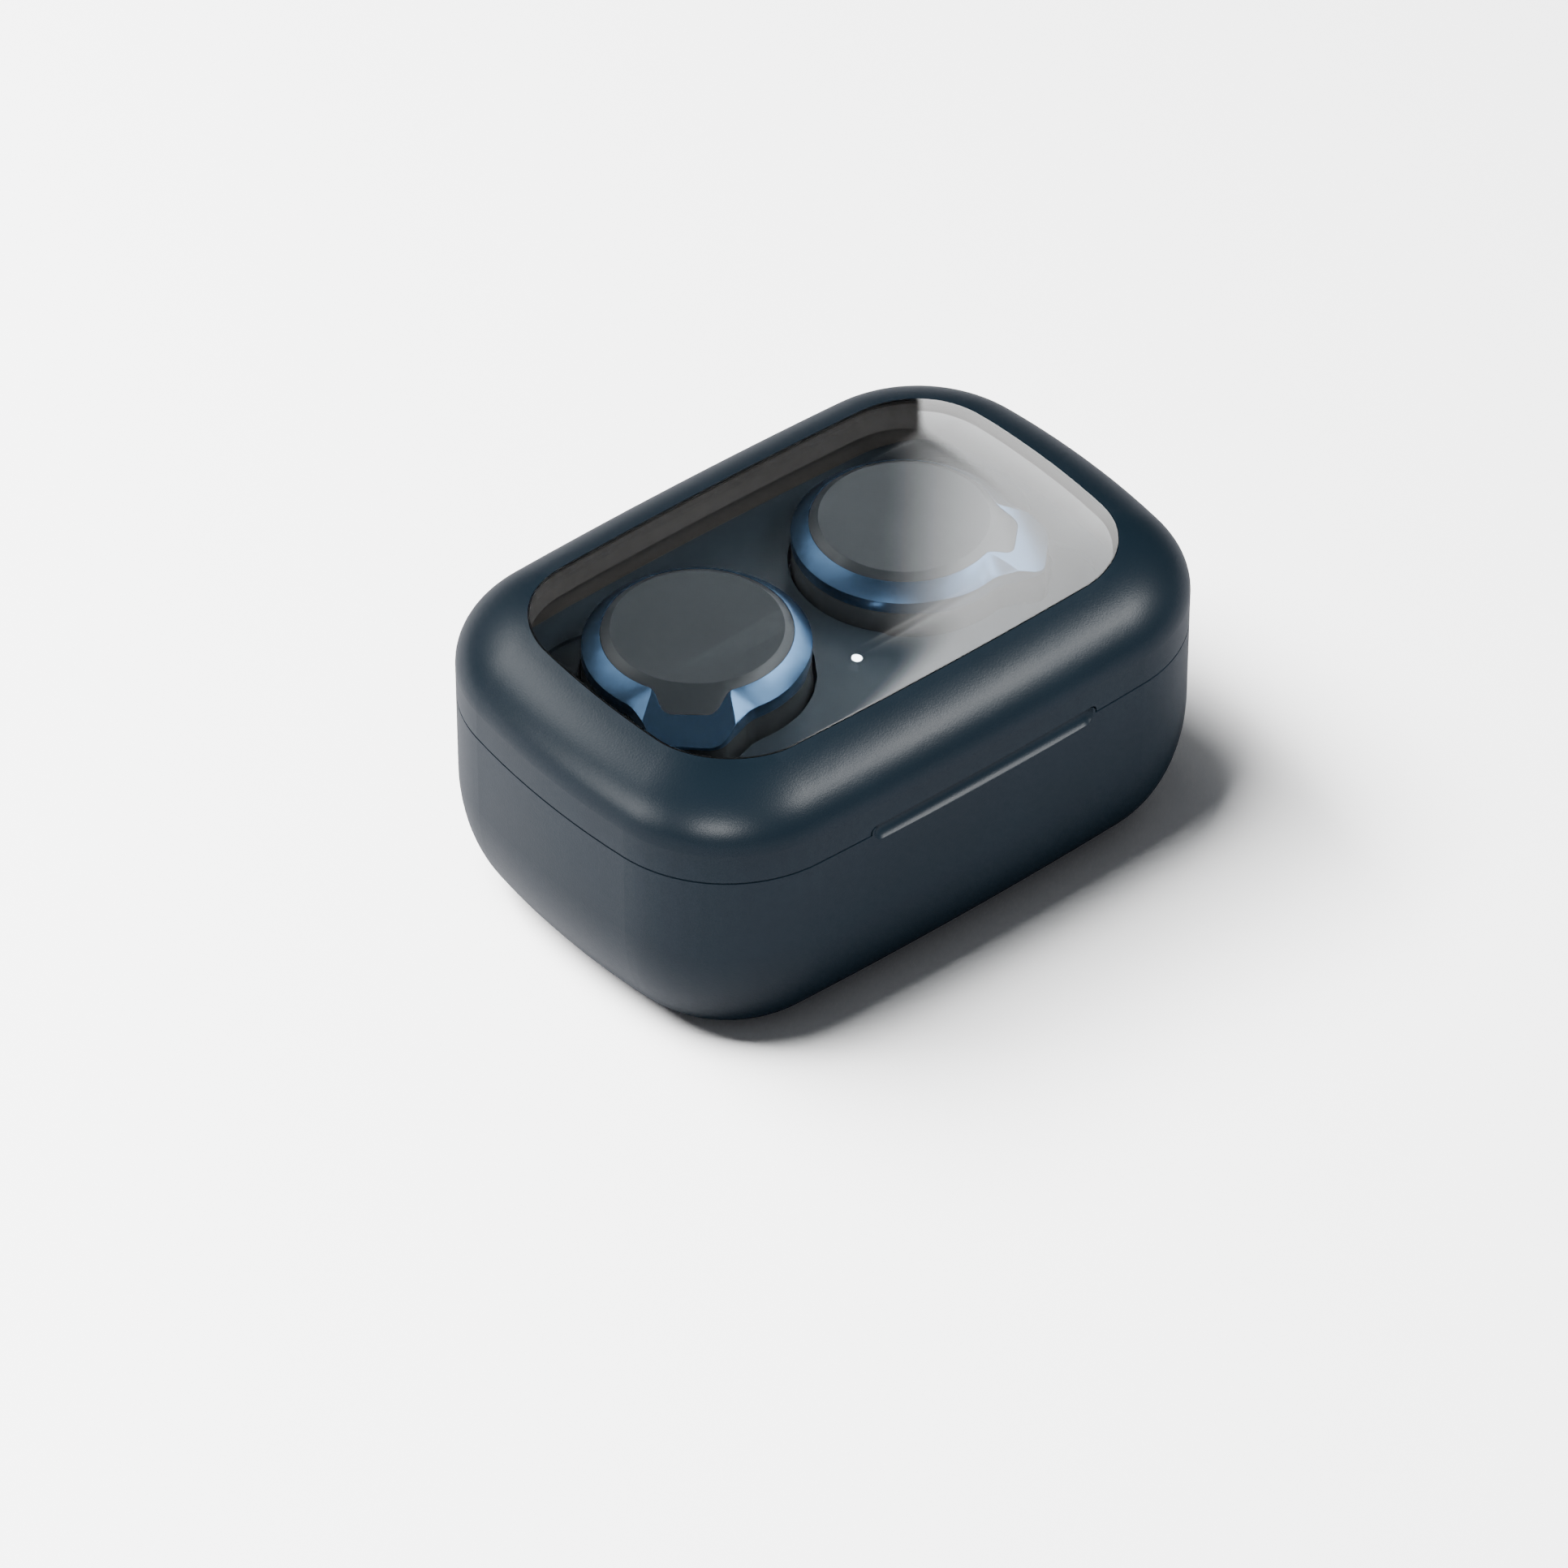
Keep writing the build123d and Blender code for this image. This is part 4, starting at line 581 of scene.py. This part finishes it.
# %% [markdown]
# ## Lights
# Four soft boxes light the case and one lights the floor. With light linking each lamp reaches only one
# collection, so the floor can be nearly white while the dark case keeps its contrast. The corner box
# makes the highlight on the near corner of the lid, the shoulder box the band along its front, the left
# box fills the end of the case, and the back box gives the far edges a rim. None of them lights the pane.

# %% Soft boxes
AIM = Vector((0.0, 0.0, 0.02))


def soft_box(name, place, size, power, lit):
    lamp = bpy.data.lights.new(name, "AREA")
    lamp.shape = "RECTANGLE"
    lamp.size = size[0]
    lamp.size_y = size[1]
    lamp.energy = power
    item = bpy.data.objects.new(name, lamp)
    bpy.context.scene.collection.objects.link(item)
    item.location = place
    item.rotation_euler = (AIM - Vector(place)).to_track_quat("-Z", "Y").to_euler()
    item.light_linking.receiver_collection = lit
    print(name, power, "W on", lit.name)


the_object = bpy.data.collections.new("the_object")
for item in nodes.values():
    the_object.objects.link(item)
the_floor = bpy.data.collections.new("the_floor")
the_floor.objects.link(floor)

soft_box("corner_box", (-0.62, -0.56, 0.62), (0.34, 0.30), 6.0, the_object)
soft_box("shoulder_box", (0.48, -0.46, 0.72), (0.55, 0.22), 7.0, the_object)
soft_box("left_box", (-0.9, 0.35, 0.45), (0.4, 0.5), 6.0, the_object)
soft_box("back_box", (-0.2, 0.8, 0.8), (0.8, 0.3), 8.0, the_object)
soft_box("floor_box", (-0.25, 0.45, 1.0), (0.9, 0.9), 170.0, the_floor)

# %% [markdown]
# ## Reflected panel
# The right part of the window carries one large bright reflection. A lamp could make it, but a glowing
# sheet can have an edge that fades, as a scrim's does. A flat pane sends the camera's view up and away
# at the same slope, so the panel stands square to that view turned upwards. It lights the pane alone.
# The fade follows a line that is straight up to one height and leans over beyond it. The pane curves down
# at its border and pulls the reflection's edge sideways there, and the lean takes part of that back.

# %% The panel's place
VIEW = Vector((0.48132, 0.57953, -0.65763))
PANEL_PLACE = Vector((0.3023, 0.3706, 0.4824))
PANEL_FACING = Vector((VIEW.x, VIEW.y, -VIEW.z))
PANEL_RIGHT = Vector((0.76928, -0.63891, 0.0))
PANEL_SIZE = 1.3
PANEL_MARGIN = 0.4
PANEL_EDGE = 0.029
bpy.ops.object.select_all(action="DESELECT")
bpy.ops.mesh.primitive_plane_add(size=1.0)
panel = bpy.context.object
panel.name = "reflected_panel"
up = PANEL_RIGHT.cross(PANEL_FACING)
for vertex in panel.data.vertices:
    x = PANEL_EDGE - PANEL_MARGIN + (vertex.co.x + 0.5) * PANEL_SIZE
    y = vertex.co.y * PANEL_SIZE
    vertex.co = PANEL_PLACE + PANEL_RIGHT * x + up * y

# %% The panel's glow
PANEL_FADE = 0.012
PANEL_STRAIGHT = 0.022
PANEL_LEVEL = -0.036
PANEL_LEAN = 0.68
PANEL_GLOW = 7.0
panel_material, tree, shader = new_material("reflected_panel", (0.0, 0.0, 0.0), 0.5)
shader.inputs["Emission Color"].default_value = (1.0, 1.0, 1.0, 1.0)
place = add(tree, "ShaderNodeTexCoord", "place")
along = add(tree, "ShaderNodeVectorMath", "along the panel", operation="DOT_PRODUCT")
along.inputs[1].default_value = PANEL_RIGHT
link(tree, place.outputs["Object"], along.inputs[0])
middle = PANEL_PLACE.dot(PANEL_RIGHT) + PANEL_EDGE
height = add(tree, "ShaderNodeVectorMath", "up the panel", operation="DOT_PRODUCT")
height.inputs[1].default_value = up
link(tree, place.outputs["Object"], height.inputs[0])
level = PANEL_PLACE.dot(up) + PANEL_LEVEL
straight = add(tree, "ShaderNodeClamp", "straight part")
straight.inputs["Min"].default_value = level - 1.0
straight.inputs["Max"].default_value = level + PANEL_STRAIGHT
link(tree, height.outputs["Value"], straight.inputs["Value"])
beyond = add(tree, "ShaderNodeMath", "beyond it", operation="SUBTRACT")
link(tree, height.outputs["Value"], beyond.inputs[0])
link(tree, straight.outputs["Result"], beyond.inputs[1])
leaning = add(tree, "ShaderNodeMath", "leaning edge", operation="MULTIPLY_ADD")
leaning.inputs[1].default_value = -PANEL_LEAN
link(tree, beyond.outputs["Value"], leaning.inputs[0])
link(tree, along.outputs["Value"], leaning.inputs[2])
fade = add(tree, "ShaderNodeMapRange", "fade", interpolation_type="SMOOTHSTEP")
fade.inputs["From Min"].default_value = middle - PANEL_FADE
fade.inputs["From Max"].default_value = middle + PANEL_FADE
fade.inputs["To Max"].default_value = PANEL_GLOW
link(tree, leaning.outputs["Value"], fade.inputs["Value"])
link(tree, fade.outputs["Result"], shader.inputs["Emission Strength"])
panel.data.materials.append(panel_material)
panel.visible_diffuse = False
lit_by_panel = bpy.data.collections.new("lit_by_panel")
lit_by_panel.objects.link(pane)
panel.light_linking.receiver_collection = lit_by_panel


# %% [markdown]
# ## Fill
# A weak, slightly blue sky keeps the deepest shadows open. A stronger one would wash out the contrast
# that the soft boxes give.

# %% Sky
world = bpy.data.worlds.new("studio")
bpy.context.scene.world = world
world.use_nodes = True
world.node_tree.nodes["Background"].inputs["Color"].default_value = (0.9, 0.93, 1.0, 1.0)
world.node_tree.nodes["Background"].inputs["Strength"].default_value = 0.15

# %% [markdown]
# ## Camera
# A long lens from the front left, well above the case, so that its sides stay nearly parallel. It is set
# by its place and by the direction of its view, the same one that places the panel.

# %% Camera
CAMERA_PLACE = Vector((-467.81, -556.65, 640.24)) * MM
lens = bpy.data.cameras.new("camera")
lens.lens = 209.4
lens.sensor_width = 36.0
lens.clip_start = 0.01
camera = bpy.data.objects.new("camera", lens)
bpy.context.scene.collection.objects.link(camera)
camera.location = CAMERA_PLACE
camera.rotation_euler = VIEW.to_track_quat("-Z", "Y").to_euler()
bpy.context.scene.camera = camera
print("camera", lens.lens, "mm")
